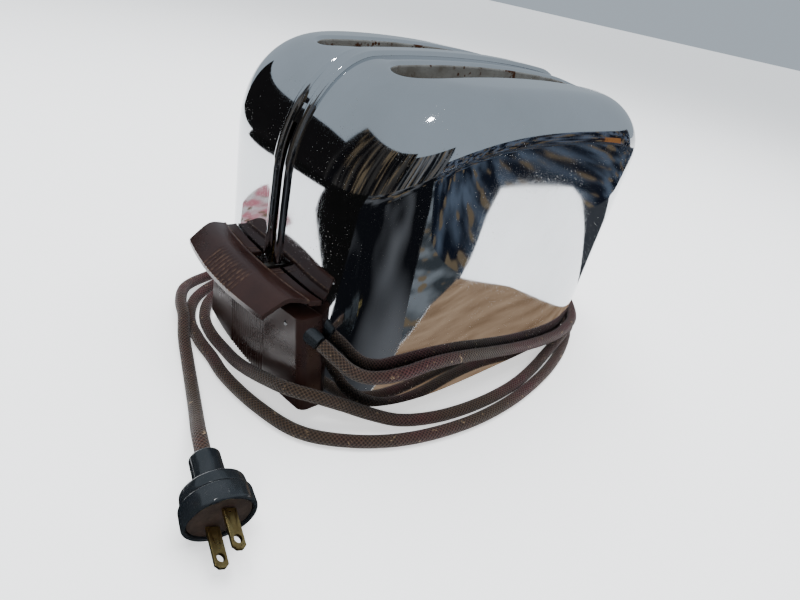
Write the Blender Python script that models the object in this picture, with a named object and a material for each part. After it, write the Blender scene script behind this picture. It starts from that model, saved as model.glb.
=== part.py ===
# Pop-up toaster for two slices: a bright shell on a sheet base, a carriage lever at the front end,
# three heating cards with wire bread guards between two frame plates, a hinged crumb tray,
# and a braided cord with a round plug wound round the foot of the body.
#
# Frame: +Z up, Z = 0 is the surface the feet stand on, X runs along the bread slots with the
# lever end at -X, and Y runs across them. Sizes below are in millimetres.

import math

import bmesh
import bpy
import numpy as np
from mathutils import Matrix, Vector

MM = 0.001
GAP = 0.3  # air left between two pieces that touch

# Shell: every level is a four-power superellipse, so the four walls bow and the corners are round.
HALF_LENGTH_FOOT = 122.5
HALF_LENGTH_SHOULDER = 118.5
HALF_WIDTH = 87.0
SHOULDER_HALF_WIDTH = 88.8
TOP_HEIGHT = 187.7
FOOT_EDGE_HEIGHT = 13.0
END_SHOULDER = (46.0, 60.0)  # how far in, how far down
SIDE_SHOULDER = (22.0, 22.0)
FOOT_POWER, SHOULDER_POWER = 4.0, 4.3  # of the plan outlines, higher for squarer corners
CROWN_LENGTHWISE = 8.5  # fall of the top towards the ends
CROWN_CROSSWISE = 1.6
SHEET = 1.0
OUTLINE_POINTS = 72

# Bread slots
SLOT_Y = 32.6
SLOT_HALF_LENGTH = 80.0
SLOT_HALF_WIDTH = 14.5
COLLAR_DEPTH_Z = 170.0  # the turned-in lip of each slot ends here

# Centre moulding and the lever slot inside it
MOULDING_HALF_WIDTH = (7.8, 5.4)  # on the end walls, on the top
MOULDING_HEIGHT = 2.3
MOULDING_FOOT_Z = 73.5
LEVER_SLOT_HALF = 3.3
LEVER_SLOT_Z = (63.0, 150.0)

# Handles: one gull-shaped wing on the lever, and the same wing fixed at the back
WING_WALL_X = 121.0
WING_REACH = 33.0
WING_HALF_WIDTH = (48.4, 43.7)  # at the wall, at the tip
WING_BOW = (3.7, 4.4)
WING_WALL_Z = 73.8
WING_CREST = (18.0, 8.5, 3.4)  # distance out, spread, rise
WING_TIP_DROP = 5.3
WING_THICKNESS = 3.2
WING_NOTCH_HALF = 10.0
WING_NOTCH_X = 128.5
BOSS_X = (130.0, 145.0)
BOSS_HALF_WIDTH = 8.5
HANDLE_SCREW_X = 137.5
HANDLE_SCREW_Y = 5.5

# Moulded panels under the wings
PANEL_Z = (8.5, 64.5)
PANEL_FRONT_X = {-1: (135.0, 136.5), 1: (130.0, 136.5)}  # at the foot, at the top, for each end
PANEL_HALF_WIDTH = {-1: (58.0, 49.5), 1: (46.0, 46.0)}
PANEL_BOW = 5.0
PANEL_WALL = 3.0

# Carriage
ROD_X = -89.0
ROD_RADIUS = 2.5
ROD_Z = (16.3, 166.7)
SLIDER_X = (-95.0, -92.5)
SLIDER_Z = (22.0, 32.0, 44.0, 51.0, 80.0)
RACK_HALF_THICKNESS = 1.25
ARM_Z = (66.9, 69.7)

# Frames, guards, heaters
FRAME_X = 83.0
FRAME_SHEET = 1.0
FRAME_HALF_WIDTH = 64.0
FRAME_Z = (16.3, 158.0)
WELL_HALF_LENGTH = FRAME_X - GAP
GUARD_OFFSET = 12.2  # from the middle of a bread well
GUARD_WIRES = 9
GUARD_WIRE = 1.6
CARD_Z = (30.0, 156.0)
OUTER_CARD_Y = 52.0
SHIELD_Y = 58.0
RIBBON_ROWS = 9

# Base
BASE_Z = (14.5, 16.0)
BASE_INSET = 3.0
TRAY_X = (-62.0, 74.5)
TRAY_HALF_WIDTH = 46.0
TRAY_Z = (12.9, 14.2)
TRAY_OVERLAP = 4.0
HINGE = (76.0, 12.0)  # x and z of the crumb tray's pin
FOOT_PLACE = (90.0, 50.0)
FOOT_RADIUS = 10.0

# Latch and browning control
LATCH_PIVOT = (-106.0, 24.0)
DIAL_PLACE = (-98.0, 30.0)

# Cord and plug
CORD_RADIUS = 3.7
CORD_SAG = 1.1  # how far a straight run of the tube may leave its curve
CORD_LONGEST_RUN = 46.0
PLUG_FACE = (-196.4, -102.6, 15.9)
PLUG_AXIS = (-0.197, -0.972, -0.120)
BLADE_SPREAD = (-0.457, 0.200, -0.865)
BLADE = (6.35, 1.5, 17.5)  # width, thickness, length past the plug's face
BLADE_SPACING = 12.7
SLEEVE_START = (-128.2, -38.5, 57.5)
SLEEVE_END = (-122.0, -56.2, 52.0)


# ---------------------------------------------------------------- materials and helpers

def material(name, colour, roughness, metallic=0.0):
    mat = bpy.data.materials.new(name)
    mat.use_nodes = True
    shader = mat.node_tree.nodes["Principled BSDF"]
    shader.inputs["Base Color"].default_value = (*colour, 1.0)
    shader.inputs["Roughness"].default_value = roughness
    shader.inputs["Metallic"].default_value = metallic
    mat.diffuse_color = (*colour, 1.0)
    return mat


def make_materials():
    return {
        "chrome": material("chrome", (0.62, 0.64, 0.66), 0.05, 1.0),
        "brown": material("brown_moulding", (0.045, 0.018, 0.012), 0.25),
        "steel": material("steel", (0.50, 0.49, 0.47), 0.35, 1.0),
        "black_sheet": material("black_sheet", (0.02, 0.02, 0.02), 0.5),
        "mica": material("mica", (0.45, 0.36, 0.24), 0.6),
        "ribbon": material("heating_ribbon", (0.28, 0.25, 0.23), 0.45, 1.0),
        "shield": material("heat_shield", (0.55, 0.54, 0.50), 0.3, 1.0),
        "rubber": material("rubber", (0.015, 0.015, 0.015), 0.8),
        "ceramic": material("ceramic", (0.72, 0.68, 0.60), 0.4),
        "braid": material("braid", (0.16, 0.085, 0.055), 0.9),
        "black_moulding": material("black_moulding", (0.012, 0.013, 0.016), 0.15),
        "fibre": material("fibre", (0.22, 0.11, 0.05), 0.8),
        "brass": material("brass", (0.55, 0.42, 0.18), 0.35, 1.0),
    }


def mesh_object(name, points, faces, mat, smooth=None):
    """One closed mesh from points in millimetres; its faces are turned outwards."""
    mesh = bpy.data.meshes.new(name)
    bm = bmesh.new()
    verts = [bm.verts.new(Vector(p) * MM) for p in points]
    for face in faces:
        bm.faces.new([verts[i] for i in face])
    bmesh.ops.recalc_face_normals(bm, faces=bm.faces)
    bm.to_mesh(mesh)
    bm.free()
    mesh.materials.append(mat)
    if smooth is not None:
        mesh.shade_smooth()
        mesh.set_sharp_from_angle(angle=math.radians(smooth))
    obj = bpy.data.objects.new(name, mesh)
    bpy.context.scene.collection.objects.link(obj)
    return obj


def loft(name, rings, mat, smooth=30):
    """Joins equal rings of points, in order, and closes both ends with one face each."""
    rings = [np.asarray(r, float) for r in rings]
    count = len(rings[0])
    faces = []
    for k in range(len(rings) - 1):
        for i in range(count):
            j = (i + 1) % count
            faces.append((k * count + i, k * count + j, (k + 1) * count + j, (k + 1) * count + i))
    last = (len(rings) - 1) * count
    faces.append(tuple(range(count)))
    faces.append(tuple(range(last, last + count)))
    return mesh_object(name, np.concatenate(rings), faces, mat, smooth)


def box(name, low, high, mat, bevel=0.0):
    (x0, y0, z0), (x1, y1, z1) = low, high
    foot = [(x0, y0, z0), (x1, y0, z0), (x1, y1, z0), (x0, y1, z0)]
    head = [(x, y, z1) for x, y, _ in foot]
    obj = loft(name, [foot, head], mat, smooth=None)
    if bevel:
        mod = obj.modifiers.new("soft_edges", "BEVEL")
        mod.width = bevel * MM
        mod.segments = 2
    return obj


def axis_frame(axis):
    axis = Vector(axis).normalized()
    helper = Vector((0, 0, 1)) if abs(axis.z) < 0.9 else Vector((1, 0, 0))
    side = axis.cross(helper).normalized()
    return axis, side, axis.cross(side)


def turned(name, origin, axis, profile, mat, sides=24, smooth=35):
    """Turns a closed outline of (along, radius) pairs; a zero radius is a pole on the axis."""
    axis, side, up = axis_frame(axis)
    origin = Vector(origin)
    points, rows, faces = [], [], []
    for along, radius in profile:
        if radius == 0:
            rows.append([len(points)] * sides)
            points.append(origin + axis * along)
            continue
        rows.append(list(range(len(points), len(points) + sides)))
        for i in range(sides):
            turn = 2 * math.pi * i / sides
            points.append(origin + axis * along + (side * math.cos(turn) + up * math.sin(turn)) * radius)
    pairs = list(zip(rows, rows[1:]))
    if profile[0][1] and profile[-1][1]:
        pairs.append((rows[-1], rows[0]))  # a ring, open along its axis
    for one, two in pairs:
        for i in range(sides):
            j = (i + 1) % sides
            corner = [one[i], one[j], two[j], two[i]]
            faces.append([c for n, c in enumerate(corner) if c not in corner[:n]])
    return mesh_object(name, points, faces, mat, smooth)


def cylinder(name, start, end, radius, mat, sides=20):
    length = (Vector(end) - Vector(start)).length
    axis = Vector(end) - Vector(start)
    return turned(name, start, axis, [(0, 0), (0, radius), (length, radius), (length, 0)], mat, sides)


def lattice(name, across, us, vs, solid, mat):
    """A plate with square-cornered openings: the solid cells of a grid, between two levels.

    across is (axis, low, high). us and vs are the grid lines along the other two axes in X, Y, Z order.
    """
    axis, low, high = across
    order = [a for a in range(3) if a != axis]
    index, points, faces = {}, [], []

    def corner(i, j, level):
        key = (i, j, level)
        if key not in index:
            point = [0.0, 0.0, 0.0]
            point[axis] = high if level else low
            point[order[0]] = us[i]
            point[order[1]] = vs[j]
            index[key] = len(points)
            points.append(point)
        return index[key]

    filled = {(i, j) for i in range(len(us) - 1) for j in range(len(vs) - 1) if solid(i, j)}
    for i, j in sorted(filled):
        ring = [(i, j), (i + 1, j), (i + 1, j + 1), (i, j + 1)]
        for level in (0, 1):
            faces.append([corner(*c, level) for c in ring])
        beside = [(i, j - 1), (i + 1, j), (i, j + 1), (i - 1, j)]
        for side in range(4):
            if beside[side] not in filled:
                one, two = ring[side], ring[(side + 1) % 4]
                faces.append([corner(*one, 0), corner(*two, 0), corner(*two, 1), corner(*one, 1)])
    return mesh_object(name, points, faces, mat)


def guide(obj):
    """Marks a cutter, which is not a piece of the toaster."""
    obj.hide_render = True
    obj.display_type = "WIRE"
    return obj


def combine(obj, tool, operation="DIFFERENCE"):
    mod = obj.modifiers.new(operation.lower(), "BOOLEAN")
    mod.operation = operation
    mod.object = guide(tool)
    return obj


def mirrored_x(points):
    return [(-x, y, z) for x, y, z in points]


def ride_on(axis_name, place, objects):
    """Parents moving pieces to an empty that lies on their joint's axis."""
    empty = bpy.data.objects.new(axis_name, None)
    empty.location = Vector(place) * MM
    bpy.context.scene.collection.objects.link(empty)
    for obj in objects:
        obj.parent = empty
        obj.matrix_parent_inverse = Matrix.Translation(-empty.location)


# ---------------------------------------------------------------- shell

def crown(x, y, top=TOP_HEIGHT):
    return top - CROWN_LENGTHWISE * (x / HALF_LENGTH_SHOULDER) ** 2 - CROWN_CROSSWISE * (y / HALF_WIDTH) ** 2


def superellipse(half_x, half_y, power, count=OUTLINE_POINTS):
    """Points where (x/a)^power + (y/b)^power = 1, and the share of the x term at each."""
    turn = 2 * np.pi * np.arange(count) / count
    c, s = np.cos(turn), np.sin(turn)
    size = (abs(c) ** power + abs(s) ** power) ** (1 / power)
    return half_x * c / size, half_y * s / size, abs(c / size) ** power


def shell_rings(grow, foot_z):
    """Levels of the shell's outer face, moved out by grow: walls, rolled shoulder, crowned top."""
    rings = []
    shoulder_x, shoulder_y = HALF_LENGTH_SHOULDER + grow, SHOULDER_HALF_WIDTH + grow

    def level(roll, shrink=1.0):
        half_x = (shoulder_x - END_SHOULDER[0] * (1 - math.cos(roll))) * shrink
        half_y = (shoulder_y - SIDE_SHOULDER[0] * (1 - math.cos(roll))) * shrink
        x, y, share = superellipse(half_x, half_y, SHOULDER_POWER)
        down = END_SHOULDER[1] * share + SIDE_SHOULDER[1] * (1 - share)
        return x, y, crown(x, y, TOP_HEIGHT + grow) - down * (1 - math.sin(roll))

    x, y, spring_z = level(0.0)
    edge_x, edge_y, _ = superellipse(HALF_LENGTH_FOOT + grow, HALF_WIDTH + grow, FOOT_POWER)
    for height in (0.0, 0.5):
        z = foot_z + (spring_z - foot_z) * height
        rise = (z - FOOT_EDGE_HEIGHT) / (spring_z - FOOT_EDGE_HEIGHT)  # along the straight wall
        rings.append(np.stack([edge_x + (x - edge_x) * rise, edge_y + (y - edge_y) * rise, z], 1))
    for degrees in range(0, 91, 15):
        rings.append(np.stack(level(math.radians(degrees)), 1))
    for shrink in (0.66, 0.33):
        rings.append(np.stack(level(math.pi / 2, shrink), 1))
    return rings


def shell_solid(name, grow, foot_z, mat):
    """The space inside the shell's outer face as one solid, closed at the foot and the crown."""
    rings = shell_rings(grow, foot_z)
    count = OUTLINE_POINTS
    points = np.concatenate(rings + [[[0, 0, TOP_HEIGHT + grow]]])
    faces = [tuple(range(count))]
    for k in range(len(rings) - 1):
        for i in range(count):
            j = (i + 1) % count
            faces.append((k * count + i, k * count + j, (k + 1) * count + j, (k + 1) * count + i))
    last = (len(rings) - 1) * count
    for i in range(count):
        faces.append((last + i, last + (i + 1) % count, len(points) - 1))
    return mesh_object(name, points, faces, mat, 30)


def slot_prism(name, side, grow, low, high, mat):
    """A bread slot's outline, two half circles joined by straight sides, pushed up through the top."""
    radius = SLOT_HALF_WIDTH + grow
    straight = SLOT_HALF_LENGTH - SLOT_HALF_WIDTH
    turn = np.linspace(-np.pi / 2, np.pi / 2, 9)
    x = np.concatenate([straight + radius * np.cos(turn), -straight - radius * np.cos(turn)])
    y = np.concatenate([radius * np.sin(turn), -radius * np.sin(turn)]) + side * SLOT_Y
    return loft(name, [np.stack([x, y, np.full(len(x), z)], 1) for z in (low, high)], mat)


def build_shell(mats):
    chrome = mats["chrome"]
    shell = shell_solid("body_shell", 0.0, FOOT_EDGE_HEIGHT, chrome)
    hollow = shell_solid("shell_hollow", -SHEET, FOOT_EDGE_HEIGHT - 2.0, chrome)
    for side, word in ((-1, "near"), (1, "far")):
        collar = slot_prism(f"collar_{word}", side, SHEET, COLLAR_DEPTH_Z, TOP_HEIGHT + 10, chrome)
        combine(hollow, collar)
    combine(shell, hollow)
    for side, word in ((-1, "near"), (1, "far")):
        opening = slot_prism(f"slot_{word}", side, 0.0, COLLAR_DEPTH_Z - 5, TOP_HEIGHT + 20, chrome)
        combine(shell, opening)
    combine(shell, box("lever_slot", (-130, -LEVER_SLOT_HALF, LEVER_SLOT_Z[0]),
                       (-95, LEVER_SLOT_HALF, LEVER_SLOT_Z[1]), chrome))
    return shell


# ---------------------------------------------------------------- centre moulding

def wall_profile():
    """The shell's middle line from the front moulding foot, over the top, to the back one."""
    steps = []
    spring_z = crown(HALF_LENGTH_SHOULDER, 0) - END_SHOULDER[1]
    taper = (HALF_LENGTH_FOOT - HALF_LENGTH_SHOULDER) / (spring_z - FOOT_EDGE_HEIGHT)
    for z in np.linspace(MOULDING_FOOT_Z, spring_z, 4):
        steps.append((HALF_LENGTH_SHOULDER + taper * (spring_z - z), z))
    for degrees in range(10, 91, 10):
        roll = math.radians(degrees)
        x = HALF_LENGTH_SHOULDER - END_SHOULDER[0] * (1 - math.cos(roll))
        steps.append((x, crown(x, 0) - END_SHOULDER[1] * (1 - math.sin(roll))))
    for x in (45.0, 22.0):
        steps.append((x, crown(x, 0)))
    front = [(-x, z) for x, z in steps]
    return np.array(front + [(0.0, TOP_HEIGHT)] + steps[::-1])


def build_moulding(mats):
    path = wall_profile()
    along = np.gradient(path, axis=0)
    along /= np.linalg.norm(along, axis=1)[:, None]
    outward = np.stack([-along[:, 1], along[:, 0]], 1)
    flat = np.clip((np.abs(path[:, 0]) - 60) / 50, 0, 1)
    half = MOULDING_HALF_WIDTH[1] + (MOULDING_HALF_WIDTH[0] - MOULDING_HALF_WIDTH[1]) * flat
    rings = []
    for (x, z), (nx, nz), w in zip(path, outward, half):
        section = ((-w, GAP), (-w, MOULDING_HEIGHT - 0.9), (-w + 1.2, MOULDING_HEIGHT),
                   (w - 1.2, MOULDING_HEIGHT), (w, MOULDING_HEIGHT - 0.9), (w, GAP))
        rings.append([(x + nx * h, y, z + nz * h) for y, h in section])
    moulding = loft("centre_moulding", rings, mats["chrome"], smooth=40)
    channel = box("moulding_channel", (-130, -LEVER_SLOT_HALF, LEVER_SLOT_Z[0]),
                  (-98, LEVER_SLOT_HALF, LEVER_SLOT_Z[1] + 8), mats["chrome"])
    return combine(moulding, channel)


# ---------------------------------------------------------------- wings and panels

def wing_surface(out, across):
    """The wing's upper face: out is 0 at the wall and 1 at the tip, across is -1 to 1."""
    reach = WING_REACH * out
    crest_at, spread, rise = WING_CREST
    wall_x = WING_WALL_X - WING_BOW[0] * across ** 2
    tip_x = WING_WALL_X + WING_REACH - WING_BOW[1] * across ** 2
    half = WING_HALF_WIDTH[0] + (WING_HALF_WIDTH[1] - WING_HALF_WIDTH[0]) * out
    beyond = max(0.0, reach - crest_at) / (WING_REACH - crest_at)
    z = WING_WALL_Z + rise * math.exp(-((reach - crest_at) / spread) ** 2) - WING_TIP_DROP * beyond ** 2
    return -(wall_x + (tip_x - wall_x) * out), across * half, z


def build_wing(name, mats, end, boss_foot):
    """A gull-shaped wing with a boss below its crest. end is -1 for the front and 1 for the back."""
    rings = []
    for across in np.linspace(-1, 1, 11):
        upper = [wing_surface(out, across) for out in np.linspace(-0.25, 1, 14)]
        lower = [(x, y, z - WING_THICKNESS) for x, y, z in reversed(upper)]
        ring = upper + lower
        rings.append(mirrored_x(ring) if end > 0 else ring)
    wing = loft(name, rings, mats["brown"], smooth=40)
    boss_x = sorted(end * x for x in BOSS_X)
    boss = box(f"{name}_boss", (boss_x[0], -BOSS_HALF_WIDTH, boss_foot),
               (boss_x[1], BOSS_HALF_WIDTH, WING_WALL_Z), mats["brown"])
    combine(wing, boss, "UNION")
    clearance = 1.0 if end < 0 else GAP
    combine(wing, shell_solid(f"{name}_fit", clearance, 40.0, mats["brown"]))
    notch_x = sorted((end * WING_NOTCH_X, end * 100.0))
    combine(wing, box(f"{name}_notch", (notch_x[0], -WING_NOTCH_HALF, 50),
                      (notch_x[1], WING_NOTCH_HALF, 90), mats["brown"]))
    for y in (-HANDLE_SCREW_Y, HANDLE_SCREW_Y):
        combine(wing, cylinder(f"{name}_hole", (end * HANDLE_SCREW_X, y, boss_foot - 5),
                               (end * HANDLE_SCREW_X, y, WING_WALL_Z - 1), 1.8, mats["brown"], 12))
    return wing


def panel_outline(end, level, inset=0.0):
    """The panel's plan at a level from 0, its foot, to 1, its top: bowed front, round corners."""
    foot, top = PANEL_FRONT_X[end]
    front = foot + (top - foot) * level - inset
    foot, top = PANEL_HALF_WIDTH[end]
    half = foot + (top - foot) * level - inset
    corner = 5.0
    ys = np.linspace(-(half - corner), half - corner, 9)
    points = [(-(front - PANEL_BOW * (y / half) ** 2), y) for y in ys]
    edge_x = points[0][0]
    turns = np.radians((25, 50, 75, 90))
    far = [(edge_x + corner * (1 - math.cos(t)), half - corner + corner * math.sin(t)) for t in turns]
    near = [(x, -y) for x, y in reversed(far)]
    return [(-100.0, -half)] + near + points + far + [(-100.0, half)]


def build_panel(name, mats, end):
    def block(block_name, low, high, inset):
        rings = []
        for z in (low, high):
            level = (z - PANEL_Z[0]) / (PANEL_Z[1] - PANEL_Z[0])
            ring = [(x, y, z) for x, y in panel_outline(end, level, inset)]
            rings.append(mirrored_x(ring) if end > 0 else ring)
        return loft(block_name, rings, mats["brown"], smooth=40)

    panel = block(name, PANEL_Z[0], PANEL_Z[1], 0.0)
    combine(panel, shell_solid(f"{name}_fit", GAP, -5.0, mats["brown"]))
    combine(panel, block(f"{name}_hollow", PANEL_Z[0] - 6, PANEL_Z[1] - PANEL_WALL, PANEL_WALL))
    return panel


def screw(name, place, up, head_radius, head_height, shank_radius, shank_length, mat):
    """A screw whose head starts at place and whose shank points along up, with a round head."""
    profile = [(0, 0), (0, head_radius * 0.7), (head_height * 0.5, head_radius), (head_height, head_radius),
               (head_height, shank_radius), (head_height + shank_length, shank_radius),
               (head_height + shank_length, 0)]
    return turned(name, place, up, profile, mat, 12)


def build_front_end(mats):
    panel = build_panel("front_panel", mats, -1)
    way = Vector(SLEEVE_END) - Vector(SLEEVE_START)
    combine(panel, cylinder("cord_way", SLEEVE_START, Vector(SLEEVE_END) + way * 0.6, 5.6, mats["brown"]))
    wing = build_wing("lever_handle", mats, -1, ARM_Z[1] + GAP)
    arm = lattice("lever_arm", (2, *ARM_Z), (-146.0, -129.5, SLIDER_X[0] - GAP), (-8.5, -2.0, 2.0, 8.5),
                  lambda i, j: i == 0 or j == 1, mats["steel"])
    screws = []
    for y, word in ((-HANDLE_SCREW_Y, "near"), (HANDLE_SCREW_Y, "far")):
        combine(arm, cylinder("arm_hole", (-HANDLE_SCREW_X, y, ARM_Z[0] - 3),
                              (-HANDLE_SCREW_X, y, ARM_Z[1] + 3), 1.8, mats["steel"], 12))
        screws.append(screw(f"lever_screw_{word}", (-HANDLE_SCREW_X, y, ARM_Z[0] - GAP - 1.2), (0, 0, 1),
                            3.0, 1.2, 1.5, 6.0, mats["steel"]))
    return [wing, arm, *screws]


def build_back_end(mats):
    panel = build_panel("back_panel", mats, 1)
    build_wing("back_handle", mats, 1, PANEL_Z[1] + GAP)
    for y, word in ((-HANDLE_SCREW_Y, "near"), (HANDLE_SCREW_Y, "far")):
        x = 132.0
        combine(panel, cylinder("panel_hole", (x, y, PANEL_Z[1] - 6), (x, y, PANEL_Z[1] + 3), 1.8,
                                mats["brown"], 12))
    return panel


# ---------------------------------------------------------------- carriage

def build_carriage(mats):
    steel = mats["steel"]
    slider = lattice("carriage_slider", (0, *SLIDER_X), (-37.0, -14.0, -4.0, 4.0, 14.0, 37.0), SLIDER_Z,
                     lambda i, j: j == 0 or (i in (1, 3) or i == 2 and j != 2), steel)
    bush = cylinder("slider_bush", (ROD_X, 0, SLIDER_Z[0] + 4), (ROD_X, 0, SLIDER_Z[4] - 6), 4.2, steel)
    combine(slider, bush, "UNION")
    combine(slider, cylinder("bush_bore", (ROD_X, 0, 0), (ROD_X, 0, 120), ROD_RADIUS + GAP, steel))
    pieces = [slider]
    for side, word in ((-1, "near"), (1, "far")):
        y = side * SLOT_Y
        teeth = np.linspace(-76, 76, 11)
        us = [SLIDER_X[1] + GAP, *teeth]
        rack = lattice(f"bread_rack_{word}", (1, y - RACK_HALF_THICKNESS, y + RACK_HALF_THICKNESS), us,
                       (23.0, 28.5, 31.5), lambda i, j: j == 0 or i % 2 == 1, steel)
        pieces.append(rack)
    cylinder("guide_rod", (ROD_X, 0, ROD_Z[0]), (ROD_X, 0, ROD_Z[1]), ROD_RADIUS, steel)
    box("rod_bracket", (-94.5, -9, ROD_Z[1] + GAP), (-FRAME_X - FRAME_SHEET - GAP, 9, 169.0), steel, 0.4)
    return pieces


def build_spring(mats):
    """The lifting spring: an open helix between the slider's crossbar and the rod bracket's level."""
    turns, per_turn, coil_radius, wire_radius = 13, 10, 3.4, 0.5
    low, high, x, y = SLIDER_Z[1] + GAP + 1, ROD_Z[1] - 3, -92.0, 22.0
    curve = bpy.data.curves.new("carriage_spring", "CURVE")
    curve.dimensions = "3D"
    curve.bevel_depth = wire_radius * MM
    curve.bevel_resolution = 1
    curve.use_fill_caps = True
    spline = curve.splines.new("POLY")
    count = turns * per_turn + 1
    spline.points.add(count - 1)
    for i in range(count):
        turn = 2 * math.pi * i / per_turn
        z = low + (high - low) * i / (count - 1)
        place = (x + coil_radius * math.cos(turn), y + coil_radius * math.sin(turn), z)
        spline.points[i].co = (*(Vector(place) * MM), 1)
    curve.materials.append(mats["steel"])
    spring = bpy.data.objects.new("carriage_spring", curve)
    bpy.context.scene.collection.objects.link(spring)


# ---------------------------------------------------------------- frames, guards and heaters

def build_frames(mats):
    window_y = (SLOT_Y - 3.5, SLOT_Y + 3.5)
    ys = (-FRAME_HALF_WIDTH, -window_y[1], -window_y[0], window_y[0], window_y[1], FRAME_HALF_WIDTH)
    zs = (FRAME_Z[0], 20.0, 112.0, FRAME_Z[1])
    steel = mats["steel"]
    lattice("front_frame", (0, -FRAME_X - FRAME_SHEET, -FRAME_X), ys, zs,
            lambda i, j: not (j == 1 and i in (1, 3)), steel)
    lattice("back_frame", (0, FRAME_X, FRAME_X + FRAME_SHEET), ys, zs, lambda i, j: True, steel)


def build_guards(mats):
    """Each guard is a rail at the top and bottom with upright wires between them."""
    edge = WELL_HALF_LENGTH
    pitch = (2 * edge - GUARD_WIRE) / (GUARD_WIRES - 1)
    lines = []
    for i in range(GUARD_WIRES):
        lines += [-edge + pitch * i, -edge + pitch * i + GUARD_WIRE]
    for side, word in ((-1, "near"), (1, "far")):
        for offset, place in ((-GUARD_OFFSET, "inner"), (GUARD_OFFSET, "outer")):
            y = side * (SLOT_Y + offset)
            lattice(f"bread_guard_{word}_{place}", (1, y - 0.6, y + 0.6), lines, (26.0, 28.0, 162.0, 164.0),
                    lambda i, j: j != 1 or i % 2 == 0, mats["steel"])


def build_heaters(mats):
    """Mica cards, each with a flat heating ribbon laid to and fro on every face that meets bread."""
    half_x = 76.0
    half_card = 0.4
    rows = np.linspace(CARD_Z[0] + 8, CARD_Z[1] - 8, RIBBON_ROWS)
    zs = sorted([r - 1.1 for r in rows] + [r + 1.1 for r in rows])
    xs = (-70.0, -67.8, 67.8, 70.0)

    def laid(i, j):
        if j % 2 == 0:
            return True  # a row of ribbon
        return i == (2 if (j // 2) % 2 == 0 else 0)  # the turn at the end of a row

    faces = {"near": (-OUTER_CARD_Y, (1,)), "centre": (0.0, (-1, 1)), "far": (OUTER_CARD_Y, (-1,))}
    for word, (y, sides) in faces.items():
        box(f"mica_card_{word}", (-half_x, y - half_card, CARD_Z[0]), (half_x, y + half_card, CARD_Z[1]),
            mats["mica"])
        for side in sides:
            name = f"heating_ribbon_{word}"
            if len(sides) == 2:
                name += "_near" if side < 0 else "_far"
            inner = y + side * (half_card + GAP)
            outer = inner + side * 0.6
            lattice(name, (1, min(inner, outer), max(inner, outer)), xs, zs, laid, mats["ribbon"])
    for side, word in ((-1, "near"), (1, "far")):
        low, high = sorted((side * SHIELD_Y, side * (SHIELD_Y + 0.8)))
        box(f"heat_shield_{word}", (-WELL_HALF_LENGTH, low, 24.0), (WELL_HALF_LENGTH, high, 156.0),
            mats["shield"])


# ---------------------------------------------------------------- latch, thermostat, terminals

def build_controls(mats):
    steel = mats["steel"]
    x, z = LATCH_PIVOT
    latch = lattice("latch_lever", (1, -3.0, 3.0), (x - 3.5, x + 3.5, -98.5), (z - 5.0, 46.0, 50.0),
                    lambda i, j: i == 0 or j == 1, steel)
    combine(latch, cylinder("latch_bore", (x, -8, z), (x, 8, z), 1.8, steel))
    cylinder("latch_pin", (x, -9, z), (x, 9, z), 1.5, steel, 14)
    box("latch_post_near", (x - 3.5, -12.5, BASE_Z[1] + GAP), (x + 3.5, -9 - GAP, z + 5), steel, 0.4)
    box("bimetal_strip", (-104.0, 20.0, BASE_Z[1] + GAP), (-103.0, 28.0, 88.0), mats["brass"])
    dial_x, dial_y = DIAL_PLACE
    dial = turned("browning_dial", (dial_x, dial_y, 6.0), (0, 0, 1),
                  [(0, 0), (0, 9.5), (1, 10.5), (5, 10.5), (6, 9.5), (6, 2.2), (13.5, 2.2), (13.5, 0)],
                  mats["black_moulding"], 24)
    box("cord_clamp", (-130.2, -35.6, 49.0), (-122.6, -31.0, 60.9), mats["ceramic"], 0.6)
    box("terminal_block", (-112.0, -54.0, BASE_Z[1] + GAP), (-100.0, -30.0, 30.0), mats["ceramic"], 0.8)
    for y, word in ((-48.0, "near"), (-36.0, "far")):
        screw(f"terminal_screw_{word}", (-106.0, y, 33.2), (0, 0, -1), 2.8, 1.6, 1.5, 1.2, mats["brass"])
    return latch, dial


# ---------------------------------------------------------------- base, crumb tray and feet

def build_base(mats):
    x, y, _ = superellipse(HALF_LENGTH_FOOT - BASE_INSET, HALF_WIDTH - BASE_INSET, FOOT_POWER, 48)
    base = loft("base_plate", [np.stack([x, y, np.full(48, z)], 1) for z in BASE_Z], mats["black_sheet"])
    opening = box("tray_opening", (TRAY_X[0] + TRAY_OVERLAP, -TRAY_HALF_WIDTH + TRAY_OVERLAP, 5),
                  (TRAY_X[1] - TRAY_OVERLAP - 4, TRAY_HALF_WIDTH - TRAY_OVERLAP, 25), mats["black_sheet"])
    combine(base, opening)
    combine(base, cylinder("dial_way", (*DIAL_PLACE, 10), (*DIAL_PLACE, 25), 2.8, mats["black_sheet"], 16))
    for sx in (-1, 1):
        for sy in (-1, 1):
            place = (sx * FOOT_PLACE[0], sy * FOOT_PLACE[1])
            combine(base, cylinder("foot_hole", (*place, 10), (*place, 25), 1.9, mats["black_sheet"], 12))
            word = f"{'front' if sx < 0 else 'back'}_{'near' if sy < 0 else 'far'}"
            top = BASE_Z[0] - GAP
            turned(f"foot_{word}", (*place, 0), (0, 0, 1),
                   [(0, 1.9), (0, FOOT_RADIUS - 2), (1, FOOT_RADIUS - 1), (top - 1.5, FOOT_RADIUS),
                    (top, FOOT_RADIUS - 0.8), (top, 1.9)], mats["rubber"], 20)
            screw(f"foot_screw_{word}", (*place, BASE_Z[1] + GAP + 1.6), (0, 0, -1), 3.4, 1.6, 1.6, 11.0,
                  mats["steel"])


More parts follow.
